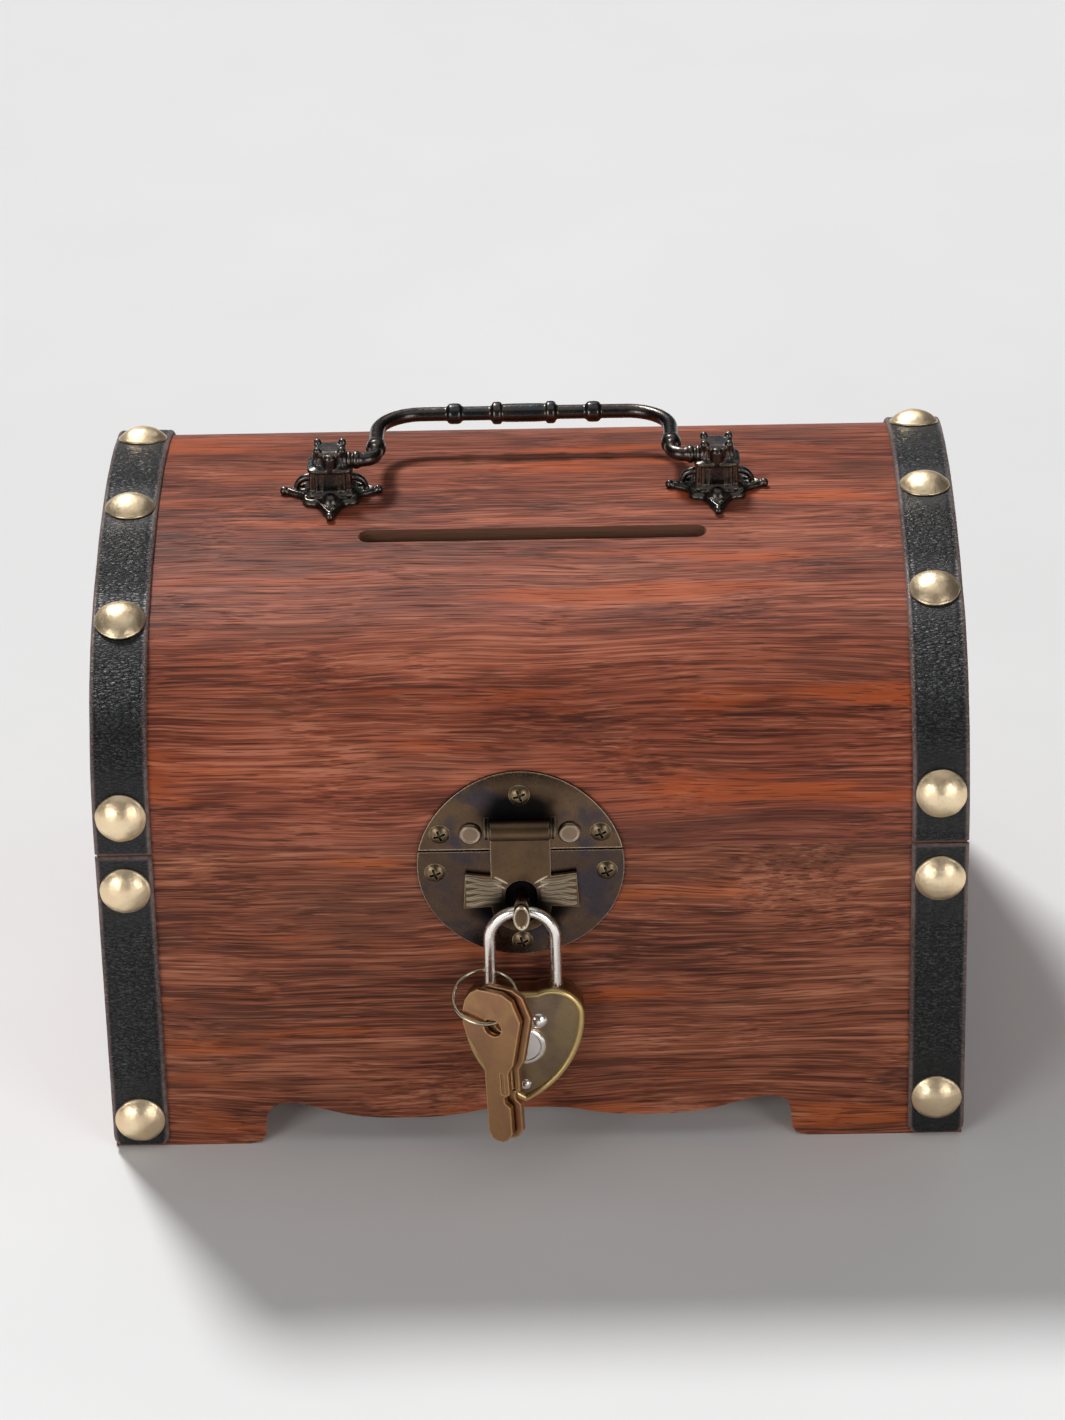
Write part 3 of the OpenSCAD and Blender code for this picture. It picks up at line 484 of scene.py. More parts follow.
def metal(name, base, bright, tarnish, rough=(0.25, 0.45), worn=0.7, wear_radius=0.35, grain=0.25,
          brushed=None, patches=0.5, dents=0.03, grime_and_shade=0.0, blued=None, painted_shadow=None):
    """Plated or solid metal: tarnish in patches, grime and painted shade in hollows, an optional painted
    shadow round one place, bright where edges are rubbed.
    """
    s = Shader(name, Metallic=1.0)
    cloud = s.noise(s.place, 0.16, 4, 0.6)
    speck = s.noise(s.place, 1.4, 3, 0.65)
    colour = s.mix(s.remap(cloud, 0.35, 0.7, 0, patches), base, tarnish)
    if blued:
        # heat tint left by the plating bath, in broad soft patches
        tint = s.remap(s.noise(s.place, 0.11, 2, 0.5, 0.4), 0.46, 0.62, 0.0, 0.8, smooth=True)
        colour = s.mix(tint, colour, blued)
    colour = s.mix(s.remap(speck, 0.55, 0.8, 0, 0.5), colour, tarnish)
    if worn:
        edge = s.math("MULTIPLY", s.edges(wear_radius * MM), s.remap(speck, 0.25, 0.6, 0.55, 1.0))
        colour = s.mix(s.math("MULTIPLY", edge, worn), colour, bright)
    colour = s.mix(s.math("MULTIPLY", s.attribute("polish"), 0.85), colour, bright)
    scratch_axes = {"X": (0.25, 5.0, 5.0), "Y": (5.0, 0.25, 5.0), "Z": (5.0, 5.0, 0.25)}
    streak = s.vector("MULTIPLY", s.place, scratch_axes.get(brushed, (1.7, 1.7, 1.7)))
    scratches = s.noise(streak, grain * 4, 3, 0.7)
    roughness = s.remap(s.math("MULTIPLY_ADD", speck, 0.5, s.math("MULTIPLY", scratches, 0.5)),
                        0.3, 0.7, *rough)
    if worn:
        roughness = s.math("MULTIPLY_ADD", edge, 0.14, roughness)
    if grime_and_shade:
        # grime and painted shade: the piece's own hollows within 0.9 mm are darkened to near black and made
        # rougher
        hollow = s.math("MULTIPLY", s.recess(0.9 * MM), grime_and_shade)
        colour = s.mix(hollow, colour, (0.008, 0.006, 0.005))
        roughness = s.math("MULTIPLY_ADD", hollow, 0.35, roughness)
    if painted_shadow:
        # painted shadow: round (x, z) the metal is painted near black, as if in deep shade
        x, z, radius = painted_shadow
        px, _, pz = s.axes(s.place)
        off_x = s.math("MULTIPLY", s.math("SUBTRACT", px, x), 0.6)
        away = s.vector("LENGTH", s.join(off_x, 0.0, s.math("SUBTRACT", pz, z)))
        away = s.math("MULTIPLY_ADD", cloud, -2.5, away)
        shadowed = s.remap(away, radius - 2.5, radius + 1.0, 0.93, 0.0, smooth=True)
        colour = s.mix(shadowed, colour, (0.0035, 0.0045, 0.0055))
        roughness = s.math("MULTIPLY_ADD", shadowed, 0.4, roughness)
    normal = s.bump(scratches, 0.02 * MM, 0.5)
    normal = s.bump(s.noise(s.place, 0.5, 2), dents * MM, 0.8, under=normal)
    return s.finish(Base_Color=colour, Roughness=roughness, Normal=normal)


BRONZE = dict(bright=(0.80, 0.68, 0.50), tarnish=(0.052, 0.036, 0.030), rough=(0.20, 0.38), worn=1.0)
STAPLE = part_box("hasp_staple")
STAPLE_X = (STAPLE[0].x + STAPLE[1].x) / 2 / MM
STAPLE_Z = (STAPLE[0].z + STAPLE[1].z) / 2 / MM
LOCK_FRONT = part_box("lock_case")[0].y / MM
LOCK_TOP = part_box("lock_case")[1].z / MM + 1.0
BARREL_TOP = SEAM + 9.0

MATERIALS = {
    "wood_panel": wood("mahogany_base", dark=0.84, seed=31.0, tint=(0.90, 0.80, 0.68)),
    "wood_lid": wood("mahogany_lid", seed=0.0, tint=(0.86, 0.66, 0.56), lid=True),
    "wood_end": wood("mahogany_end", grain="Y", dark=0.80, seed=57.0),
    "wood_raw": wood("plywood_floor", seed=12.0, bare_faces="all"),
    "leather": leather("leather_black"),
    "stud": metal("brass_pale", (0.94, 0.77, 0.52), (0.98, 0.90, 0.72), (0.78, 0.53, 0.31),
                  rough=(0.33, 0.48), worn=0.3, patches=0.5, dents=0.16),
    "bronze": metal("bronze_antique", (0.138, 0.084, 0.048), grime_and_shade=0.6, wear_radius=0.42,
                    blued=(0.050, 0.044, 0.058), painted_shadow=(STAPLE_X, BARREL_TOP + 0.6, 4.2), **BRONZE),
    "bronze_plate": metal("bronze_plate", (0.098, 0.062, 0.042), grime_and_shade=0.6, wear_radius=0.34,
                          blued=(0.046, 0.040, 0.052), painted_shadow=(STAPLE_X, STAPLE_Z, 6.2), **BRONZE),
    "bronze_tongue": metal("bronze_tongue", (0.145, 0.089, 0.049), grime_and_shade=0.2, wear_radius=0.34,
                           painted_shadow=(STAPLE_X, STAPLE_Z - 1.0, 3.8), **{**BRONZE, "rough": (0.32, 0.46)}),
    "bronze_staple": metal("bronze_staple", (0.150, 0.092, 0.052), grime_and_shade=0.3, **BRONZE),
    "bronze_cast": metal("bronze_cast", (0.092, 0.080, 0.074), grime_and_shade=0.7, wear_radius=0.50,
                         blued=(0.056, 0.062, 0.070), dents=0.10, **BRONZE),
    "bronze_screw": metal("bronze_rubbed", (0.175, 0.120, 0.070), (0.60, 0.48, 0.31), (0.090, 0.062, 0.040),
                          rough=(0.28, 0.44), worn=0.7, wear_radius=0.3, grime_and_shade=1.0),
    "bronze_rivet": metal("bronze_rivet", (0.25, 0.175, 0.120), (0.92, 0.84, 0.68), (0.16, 0.11, 0.075),
                          rough=(0.26, 0.42), worn=1.0, wear_radius=0.4),
    "zinc": metal("zinc_dull", (0.50, 0.49, 0.46), (0.72, 0.71, 0.68), (0.30, 0.29, 0.27), rough=(0.3, 0.5)),
    "lock_brass": metal("brass_antique", (0.300, 0.205, 0.140), (0.86, 0.64, 0.27), (0.17, 0.125, 0.085),
                        rough=(0.24, 0.38), worn=0.5, wear_radius=0.5, brushed="X", patches=0.7,
                        grime_and_shade=0.4, blued=(0.345, 0.250, 0.130)),
    "chrome": metal("chrome", (1.0, 0.94, 0.88), (0.98, 0.96, 0.93), (0.88, 0.80, 0.73),
                    rough=(0.22, 0.30), worn=0.0, grain=0.06, patches=0.2, dents=0.0, grime_and_shade=0.5),
    "ring_steel": metal("ring_steel", (0.66, 0.58, 0.42), (0.85, 0.80, 0.64), (0.30, 0.25, 0.17),
                        rough=(0.16, 0.28), worn=0.0),
    "key_brass": metal("brass_key", (0.45, 0.235, 0.130), (0.95, 0.64, 0.26), (0.27, 0.145, 0.085),
                       rough=(0.28, 0.42), worn=1.0, wear_radius=0.60, brushed="Z", patches=0.45, grime_and_shade=0.5,
                       blued=(0.49, 0.275, 0.130)),
}

# nodes that share a record slot but need a finish of their own
FINISH_OF = {
    "hasp_lower_plate": "bronze_plate",
    "hasp_tongue": "bronze_tongue",
    "hasp_staple": "bronze_staple",
    "hasp_rivets": "bronze_rivet",
    "lug_left": "bronze_cast",
    "lug_right": "bronze_cast",
    "bail": "bronze_cast",
}


# ---------- mesh helpers, all in millimetres ----------


def add_piece(name, bm, node, body=None, modifiers=()):
    """Links a finished mesh in a CAD node's place, with the node's finish, on the node's body."""
    mesh = bpy.data.meshes.new(name)
    bm.normal_update()
    bm.to_mesh(mesh)
    bm.free()
    piece = bpy.data.objects.new(name, mesh)
    bpy.context.scene.collection.objects.link(piece)
    mesh.materials.append(MATERIALS[FINISH_OF.get(node, SLOT_OF[node])])
    mesh.shade_smooth()
    for kind, settings in modifiers:
        modifier = piece.modifiers.new(kind.lower(), kind)
        for setting, value in settings.items():
            setattr(modifier, setting, value)
    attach(piece, body or BODY_OF[node])
    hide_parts(node)
    return piece


def to_metres(bm):
    bmesh.ops.scale(bm, vec=(MM, MM, MM), verts=bm.verts)
    bmesh.ops.recalc_face_normals(bm, faces=bm.faces)
    return bm


def skin_rings(bm, rings, closed=False):
    """Faces between rings of vertices; a ring of one vertex is a pole, and ends are capped."""
    pairs = list(zip(rings, rings[1:]))
    if closed:
        pairs.append((rings[-1], rings[0]))
    for low, high in pairs:
        count = max(len(low), len(high))
        for i in range(count):
            j = (i + 1) % count
            if len(low) == 1:
                bm.faces.new((low[0], high[j], high[i]))
            elif len(high) == 1:
                bm.faces.new((low[i], low[j], high[0]))
            else:
                bm.faces.new((low[i], low[j], high[j], high[i]))
    if not closed:
        for end in (rings[0], rings[-1]):
            if len(end) > 2:
                bm.faces.new(end)


def add_lathe(bm, profile, place=Matrix(), segments=40, wobble=0.0, closed=False):
    """Turns (radius, height) points about local Z; wobble is a hand-made unevenness in mm."""
    rings = []
    for radius, height in profile:
        if radius == 0:
            rings.append([bm.verts.new(place @ Vector((0, 0, height)))])
            continue
        ring = []
        for i in range(segments):
            turn = 2 * math.pi * i / segments
            point = place @ Vector((radius * math.cos(turn), radius * math.sin(turn), height))
            if wobble:
                point += wobble * noise.noise_vector(point * 0.45)
            ring.append(bm.verts.new(point))
        rings.append(ring)
    skin_rings(bm, rings, closed)


def ball(radius, segments=10):
    """Profile of a sphere for add_lathe."""
    steps = range(segments + 1)
    turns = [math.pi * k / segments for k in steps]
    return [
        (0 if k in (0, segments) else radius * math.sin(t), -radius * math.cos(t))
        for k, t in zip(steps, turns)
    ]


def add_tube(bm, path, radii, side, segments=16, closed=False):
    """Sweeps a circle along points of one plane, side being the plane's normal."""
    rings = []
    last = len(path) - 1
    for i, (point, radius) in enumerate(zip(path, radii)):
        if closed:
            ahead = (path[(i + 1) % len(path)] - path[i - 1]).normalized()
        else:
            ahead = (path[min(i + 1, last)] - path[max(i - 1, 0)]).normalized()
        across = side.cross(ahead).normalized()
        turns = [2 * math.pi * k / segments for k in range(segments)]
        spokes = [math.cos(t) * side + math.sin(t) * across for t in turns]
        rings.append([bm.verts.new(point + radius * spoke) for spoke in spokes])
    skin_rings(bm, rings, closed)


def arc(centre, radius, start, stop, steps):
    """Points of a circular arc in 2D, angles in degrees."""
    angles = [math.radians(start + (stop - start) * k / steps) for k in range(steps + 1)]
    return [(centre[0] + radius * math.cos(a), centre[1] + radius * math.sin(a)) for a in angles]


def cut_plate(bm, outline, holes, thick, rounding, place):
    """Adds a flat plate in local XY, centred on Z = 0, cut to an outline with holes, edges rounded."""
    curve = bpy.data.curves.new("outline", "CURVE")
    curve.dimensions = "2D"
    curve.fill_mode = "BOTH"
    curve.extrude = thick / 2 - rounding
    curve.bevel_depth = rounding
    curve.bevel_resolution = 2
    curve.offset = -rounding
    for loop in (outline, *holes):
        spline = curve.splines.new("POLY")
        spline.points.add(len(loop) - 1)
        for point, (x, y) in zip(spline.points, loop):
            point.co = (x, y, 0, 1)
        spline.use_cyclic_u = True
    holder = bpy.data.objects.new("outline", curve)
    mesh = bpy.data.meshes.new_from_object(holder)
    mesh.transform(place)
    bm.from_mesh(mesh)
    bpy.data.meshes.remove(mesh)
    bpy.data.objects.remove(holder)
    bpy.data.curves.remove(curve)
    bmesh.ops.remove_doubles(bm, verts=bm.verts, dist=0.004)


# ---------- leather straps ----------

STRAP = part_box("lid_strap_left")
STRAP_W = (STRAP[1].x - STRAP[0].x) / MM
STRAP_X = -(STRAP[1].x + STRAP[0].x) / 2 / MM
STRAP_T = 1.2
STRAP_GLUE = 0.05
EDGE_ROUND = 0.7
FACE_START = 0.9
FACE_CROWN = 0.05
STRAP_STEP = 0.9
PUCKER_DEPTH = 0.32
PUCKER_R = 7.0
PRESSED_R = 8.5
CORNER_R = 2.4
LID_STRAP_END = 0.3

# places along each strap in mm: on the lid from its front seam, on the base as heights
STUDS_ON_LID = {-1: (9.5, 53.5, 94, 136, 186), 1: (12, 59, 98, 140, 184)}
STUDS_ON_BASE = {-1: (66.6, 7.6), 1: (66.4, 10.2)}


def strap_section(half):
    """Half-width to (across, height, edge) points: up one cut edge, over the crowned face, down the other."""
    flat = half - EDGE_ROUND
    left = [(-half, 0.0, 1.0), (-half, 0.25, 1.0), (-half, STRAP_T - EDGE_ROUND, 1.0)]
    for step in (30, 60, 85):
        turn = math.radians(step)
        drop = EDGE_ROUND * (1 - math.sin(turn))
        left.append((-flat - EDGE_ROUND * math.cos(turn), STRAP_T - drop - 0.06, 1.0 - 0.4 * step / 85))
    groove = [
        (-flat + 0.25, STRAP_T - 0.07, 0.1),
        (-flat + 0.55, STRAP_T - 0.16, 0.0),
        (-flat + FACE_START, STRAP_T - FACE_CROWN, 0.0),
    ]
    face = [
        (
            -flat + FACE_START + (flat - FACE_START) * k / 7,
            STRAP_T - FACE_CROWN + FACE_CROWN * math.sin(math.pi * k / 14),
            0.0,
        )
        for k in range(1, 7)
    ]
    side = left + groove + face
    return side + [(0.0, STRAP_T, 0.0)] + [(-a, h, e) for a, h, e in reversed(side)]


def add_strap(name, node, place, start, stop, studs, seed, corner=0.0):
    """A leather strip laid along place(s), pulled in round its studs, with the far end's corners rounded."""
    bm = bmesh.new()
    edge_layer = bm.verts.layers.float.new("edge")
    pressed_layer = bm.verts.layers.float.new("pressed")
    count = round((stop - start) / STRAP_STEP)
    fine = [0.0, 0.12, 0.3, 0.55]
    stations = [start + d for d in fine]
    stations += [start + 0.8 + (stop - start - 1.6) * k / count for k in range(count + 1)]
    stations += [stop - d for d in reversed(fine)]
    rings = []
    for s in stations:
        from_end = min(s - start, stop - s)
        half = STRAP_W / 2 + 0.07 * noise.noise(Vector((s * 0.09, seed, 0)))
        if corner and s - start < corner:
            half -= corner - math.sqrt(corner**2 - (corner - (s - start)) ** 2)
        softened = max(0.0, EDGE_ROUND - from_end)
        reach = min(abs(s - stud) for stud in studs) + 2.0 * noise.noise(Vector((s * 0.2, seed, 5)))
        pressed = 1 - min(1.0, max(0.0, (reach - PRESSED_R) / 4.0))
        ring = []
        for across, height, edge in strap_section(half):
            for stud in studs:
                away = math.hypot(across, s - stud)
                height -= PUCKER_DEPTH * math.exp(-((away / PUCKER_R) ** 4)) * (height / STRAP_T)
            height += 0.05 * noise.noise(Vector((across * 0.2, s * 0.12, seed))) * (height / STRAP_T)
            if softened and height > STRAP_T - EDGE_ROUND:
                height -= softened**2 / EDGE_ROUND * 0.8
                edge = max(edge, softened / EDGE_ROUND)
            vert = bm.verts.new(place(s) @ Vector((across, 0, STRAP_GLUE + height)))
            vert[edge_layer] = edge
            vert[pressed_layer] = pressed
            ring.append(vert)
        rings.append(ring)
    skin_rings(bm, rings)
    add_piece(name, to_metres(bm), node)


for side, word in ((-1, "left"), (1, "right")):
    add_strap(f"lid_strap_{word}_leather", f"lid_strap_{word}",
              lambda s, x=side * STRAP_X: on_lid(s, x), LID_STRAP_END, 2 * HALF_L - LID_STRAP_END,
              STUDS_ON_LID[side], seed=side * 3.0)
    for face, on_face, seed in (("front", on_front, 11.0), ("back", on_back, 23.0)):
        add_strap(f"base_strap_{face}_{word}_leather", f"base_strap_{face}_{word}",
                  lambda s, x=side * STRAP_X, put=on_face: put(x, s), 0.5, SEAM - 0.3,
                  STUDS_ON_BASE[side], seed=seed + side, corner=CORNER_R)


# ---------- domed studs ----------

STUD_R = 5.5
STUD_H = 2.6
DOME_R = 5.25
NAIL_R = 0.8
NAIL_L = 4.2


def stud_profile():
    """Nail, hollow underside, rolled lip and dome, as (radius, height above the wood)."""
    rim = STRAP_T - 0.26
    top = STRAP_T + 0.07 + STUD_H
    big = (STUD_R**2 + STUD_H**2) / (2 * STUD_H)
    start = math.asin(DOME_R / big)
    turns = [start * (1 - k / 12) for k in range(12)]
    dome = [(big * math.sin(turn), top - big + big * math.cos(turn)) for turn in turns]
    nail = [(0, -NAIL_L), (NAIL_R, 1.4 - NAIL_L), (NAIL_R, rim + 0.5)]
    lip = [(4.7, rim + 0.4), (5.2, rim), (5.46, rim + 0.05), (STUD_R, rim + 0.3), (5.42, rim + 0.5)]
    return nail + lip + dome + [(0, top)]


def add_studs(name, node, places):
    bm = bmesh.new()
    for place in places:
        add_lathe(bm, stud_profile(), place, 44, wobble=0.09)
    add_piece(name, to_metres(bm), node)


add_studs("lid_studs_domed", "lid_studs",
          [on_lid(s, side * STRAP_X) for side, row in STUDS_ON_LID.items() for s in row])
add_studs("base_studs_domed", "base_studs",
          [
              put(side * STRAP_X, z)
              for side, row in STUDS_ON_BASE.items()
              for z in row
              for put in (on_front, on_back)
          ])


# ---------- cast lugs and handle ----------

LUG_BOXES = {word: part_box(f"lug_{word}") for word in ("left", "right")}
LUG_PLACES = {word: (box[0] + box[1]) / 2 / MM for word, box in LUG_BOXES.items()}
LUG_FOOT = LID_TOP / MM
LUG_Y = 3.0
PIVOT_H = 8.2
TIP_X = 10.4
TIP_Y = 12.3
CAST_VOXEL = 0.17 * MM


def rosette_edge(turn):
    """Outline radius of the rosette: a lozenge between its four tips with a lobe on each flank."""
    lozenge = 1 / (abs(math.cos(turn)) / TIP_X + abs(math.sin(turn)) / TIP_Y)
    return 0.95 * lozenge * (1 + 0.09 * math.cos(8 * turn))


def rosette_height(reach, turn):
    """Height over the wood at a share of the outline's radius: boss, veined field, raised rim."""
    boss = 1.1 * math.exp(-((reach / 0.55) ** 4))
    rim = 0.75 * math.exp(-(((reach - 0.88) / 0.085) ** 2))
    field = math.exp(-(((reach - 0.66) / 0.16) ** 2))
    return 0.75 + boss + rim + 0.32 * field * math.cos(12 * turn)


def add_rosette(bm, segments=160, steps=24):
    def follow_lid(y):
        return math.sqrt(TOP_R**2 - (y + LUG_Y) ** 2) - TOP_R

    rings = [[bm.verts.new((0, 0, rosette_height(0, 0)))]]
    levels = [(k / steps, None) for k in range(1, steps + 1)] + [(1.0, 0.0)]
    for reach, level in levels:
        ring = []
        for i in range(segments):
            turn = 2 * math.pi * i / segments
            x = reach * rosette_edge(turn) * math.cos(turn)
            y = reach * rosette_edge(turn) * math.sin(turn)
            up = rosette_height(reach, turn) if level is None else level
            ring.append(bm.verts.new((x, y, up + follow_lid(y) + 0.02)))
        rings.append(ring)
    skin_rings(bm, rings)
    for x, y in ((TIP_X, 0), (-TIP_X, 0), (0, TIP_Y), (0, -TIP_Y)):
        add_lathe(bm, ball(1.0), Matrix.Translation((x, y, 0.85 + follow_lid(y))), 16)


# half-width, half-depth and flute depth of the post at each height
POST_STEPS = (
    (0.5, 5.6, 4.6, 0), (1.7, 5.6, 4.6, 0), (2.0, 5.2, 4.2, 0), (2.3, 4.9, 3.9, 0.45), (6.6, 4.8, 3.7, 0.45),
    (6.8, 5.1, 4.0, 0), (7.4, 5.1, 4.0, 0), (7.8, 3.7, 3.2, 0), (8.1, 3.4, 2.9, 0.3), (10.2, 3.2, 2.7, 0.3),
    (10.4, 3.5, 3.0, 0), (11.1, 3.5, 3.0, 0), (11.4, 2.7, 2.3, 0), (11.4, 0, 0, 0),
)
FLUTE_PITCH = 1.55


def add_post(bm, segments=120):
    """The fluted square post, lofted through its steps."""
    rings = []
    for height, a, b, flute in POST_STEPS:
        if not a:
            rings.append([bm.verts.new((0, 0, height))])
            continue
        ring = []
        for i in range(segments):
            turn = 2 * math.pi * (i + 0.5) / segments
            c, s = math.cos(turn), math.sin(turn)
            x, y = a * math.copysign(abs(c) ** 0.4, c), b * math.copysign(abs(s) ** 0.4, s)
            along = x if abs(y / b) > abs(x / a) else y
            cut = 1 - flute * (0.5 - 0.5 * math.cos(2 * math.pi * along / FLUTE_PITCH)) / math.hypot(x, y)
            ring.append(bm.verts.new((x * cut, y * cut, height)))
        rings.append(ring)
    skin_rings(bm, rings)


def add_lug(word):
    bm = bmesh.new()
    add_rosette(bm)
    add_post(bm)
    # pivot boss, front column, crown of knobs, front ball and side scrolls
    along_x = Matrix.Rotation(math.pi / 2, 4, "Y")
    boss_end = [(0, -4.0), (1.5, -3.95), (2.1, -3.6), (2.35, -3.0)]
    boss = boss_end + [(radius, -along) for radius, along in reversed(boss_end)]
    add_lathe(bm, boss, Matrix.Translation((0, 0, PIVOT_H)) @ along_x, 28)
    column = [(0, 7.2), (1.5, 7.2), (1.5, 10.2), (1.1, 10.9), (0, 11.2)]
    add_lathe(bm, column, Matrix.Translation((0, -2.6, 0)), 24)
    for x in (-2.7, 2.7):
        for y in (-2.1, 2.1):
            add_lathe(bm, ball(0.95), Matrix.Translation((x, y, 11.5)), 14)
    add_lathe(bm, ball(2.0), Matrix.Translation((0, -6.5, 1.2)), 20)
    collar = [(0, 0.5), (2.6, 0.5), (2.8, 0.95), (2.6, 1.4), (0, 1.4)]
    add_lathe(bm, collar, Matrix.Translation((0, -6.5, 0)), 24)
    for x in (-1, 1):
        scroll = [Vector((x * (4.4 + u), 0.0, v)) for u, v in arc((0.4, 1.2), 2.9, 95, -5, 12)]
        add_tube(bm, scroll, [0.95 - 0.03 * k for k in range(13)], Vector((0, 1, 0)), 14)
    centre = LUG_PLACES[word]
    bmesh.ops.translate(bm, vec=(centre.x, centre.y, LUG_FOOT), verts=bm.verts)
    cast = [
        ("REMESH", {"mode": "VOXEL", "voxel_size": CAST_VOXEL, "use_smooth_shade": True}),
        ("SMOOTH", {"factor": 0.5, "iterations": 2}),
    ]
    add_piece(f"lug_{word}_cast", to_metres(bm), f"lug_{word}", modifiers=cast)


add_lug("left")
add_lug("right")

ROD_R = 1.6
PIVOT_X = 42.15
ARM_X = 32.6
REACH = 25.0
DROOP = math.radians(4)
SMALL_BEND = 3.0
WIDE_BEND = 10.0


def swell(s, centre, half, radius, shoulder=0.35):
    """Radius of a turned bead centred on a place along the rod, 0 away from it."""
    away = abs(s - centre) / half
    return radius * (1 - away**4) ** shoulder if away < 1 else 0.0


def add_bail():
    corner = arc((ARM_X + SMALL_BEND, SMALL_BEND), SMALL_BEND, 270, 180, 14)
    bend = arc((ARM_X - WIDE_BEND, REACH - WIDE_BEND), WIDE_BEND, 0, 90, 24)
    step = 0.3
    flat = [(PIVOT_X - step * k, 0.0) for k in range(int((PIVOT_X - ARM_X - SMALL_BEND) / step))]
    rise = [(ARM_X, SMALL_BEND + step * k) for k in range(1, int((REACH - WIDE_BEND - SMALL_BEND) / step))]
    run = [((ARM_X - WIDE_BEND) * (1 - k / 75), REACH) for k in range(1, 75)]
    half = flat + corner + rise + bend + run
    outline = half + [(0.0, REACH)] + [(-x, y) for x, y in reversed(half)]
    radii = []
    for x, y in outline:
        x = abs(x)
        if y < 0.01 and x > ARM_X + SMALL_BEND:
            radius = 1.0 if x > 38.6 else 1.3
            radius = max(radius, swell(x, 38.4, 0.6, 2.0), swell(x, 36.75, 0.85, 2.05))
        else:
            radius = ROD_R
        if y > REACH - 0.01:
            beads = (swell(x, 15.5, 1.9, 2.35), swell(x, 6.0, 1.4, 2.55))
            sleeve = swell(x, 0, 6.2, 2.1, 0.12)
            radius = max(radius, sleeve, *beads)
        if abs(x - ARM_X) < 0.01:
            radius = max(radius, swell(y, SMALL_BEND + 3.4, 1.8, 2.25))
        radii.append(radius)
    bm = bmesh.new()
    add_tube(bm, [Vector((x, y, 0)) for x, y in outline], radii, Vector((0, 0, 1)), 24)
    centre = (LUG_PLACES["left"] + LUG_PLACES["right"]) / 2
    place = Matrix.Translation((centre.x, centre.y, LUG_FOOT + PIVOT_H)) @ Matrix.Rotation(-DROOP, 4, "X")
    bmesh.ops.transform(bm, matrix=place, verts=bm.verts)
    add_piece("bail_rod", to_metres(bm), "bail")


add_bail()


# ---------- hasp tongue ----------

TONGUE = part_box("hasp_tongue")
HASP_X = STAPLE_X
BARREL_R = 2.2
BARREL_Z = SEAM + 6.3
BARREL_Y = TONGUE[0].y / MM + BARREL_R
TONGUE_W = 12.9
WING_W = 24.4
TONGUE_FACE = FRONT - 2.15
TONGUE_T = 1.0
TONGUE_ROUND_Z = -13.2
EYE_TOP_Z = -10.4
EYE_R = 3.4
EYE_STRAIGHT = 4.0
# two short rays beside the eye, as the (x, z) of their ends from the middle of the seam
RAYS = (((2.9, -7.6), (5.6, -5.9)), ((3.5, -8.8), (5.9, -7.5)))


def add_tongue():
    half, wing = TONGUE_W / 2, WING_W / 2
    right = [(half, 6.3), (half, -5.9), (wing - 0.3, -5.2), (wing + 0.3, -13.8), (half, -13.4)]
    left = [(-x, z) for x, z in reversed(right)]
    outline = right + arc((0, TONGUE_ROUND_Z), half, -2, -178, 30) + left
    eye = arc((0, EYE_TOP_Z), EYE_R, 0, 180, 20) + arc((0, EYE_TOP_Z - EYE_STRAIGHT), EYE_R, 180, 360, 20)
    bm = bmesh.new()
    upright = (
        Matrix.Translation((HASP_X, TONGUE_FACE + TONGUE_T / 2, SEAM))
        @ Matrix.Rotation(math.pi / 2, 4, "X")
    )
    cut_plate(bm, outline, [eye], TONGUE_T, 0.18, upright)
    rolled_end = [(1.1, -half), (1.9, -half), (BARREL_R, 0.3 - half)]
    rolled = rolled_end + [(radius, -along) for radius, along in reversed(rolled_end)]
    barrel = Matrix.Translation((HASP_X, BARREL_Y, BARREL_Z)) @ Matrix.Rotation(math.pi / 2, 4, "Y")
    add_lathe(bm, rolled, barrel, 40, closed=True)
    polish = bm.verts.layers.float.new("polish")
    # ribs fanning out of the eye across each wing
    plain = set(bm.verts)
    for x in (-1, 1):
        for k in range(5):
            inner = Vector((HASP_X + x * 4.3, TONGUE_FACE + 0.08, SEAM - 7.6 - 1.0 * k))
            outer = Vector((HASP_X + x * (wing - 0.5), TONGUE_FACE + 0.08, SEAM - 6.3 - 1.62 * k))
            steps = [t / 14 for t in range(15)]
            sway = [0.16 * math.sin(9 * t + k) for t in steps]
            path = [inner.lerp(outer, t) + Vector((0, 0, w)) for t, w in zip(steps, sway)]
            radii = [0.18 + 0.30 * math.sin(math.pi * (0.12 + 0.8 * t)) for t in steps]
            add_tube(bm, path, radii, Vector((0, 1, 0)), 10)
    wavy = set(bm.verts)
    for x in (-1, 1):
        for inner, outer in RAYS:
            ends = [Vector((HASP_X + x * px, TONGUE_FACE + 0.06, SEAM + pz)) for px, pz in (inner, outer)]
            path = [ends[0].lerp(ends[1], t / 6) for t in range(7)]
            radii = [0.07 + 0.12 * math.sin(math.pi * t / 6) for t in range(7)]
            add_tube(bm, path, radii, Vector((0, 1, 0)), 8)
    for vert in bm.verts:
        if vert not in plain:
            vert[polish] = 0.35 if vert in wavy else 1.0
    add_piece("hasp_tongue_pressed", to_metres(bm), "hasp_tongue",
              modifiers=[("WEIGHTED_NORMAL", {"keep_sharp": True})])


add_tongue()


# ---------- CAD pieces with rounded edges ----------

# the padlock's outline: the lobes end 1 mm under its z_top
LOBE_X = 6.05
LOBE_DROP = 8.0
LOBE_R = 7.0
FLANK_R = 25.0


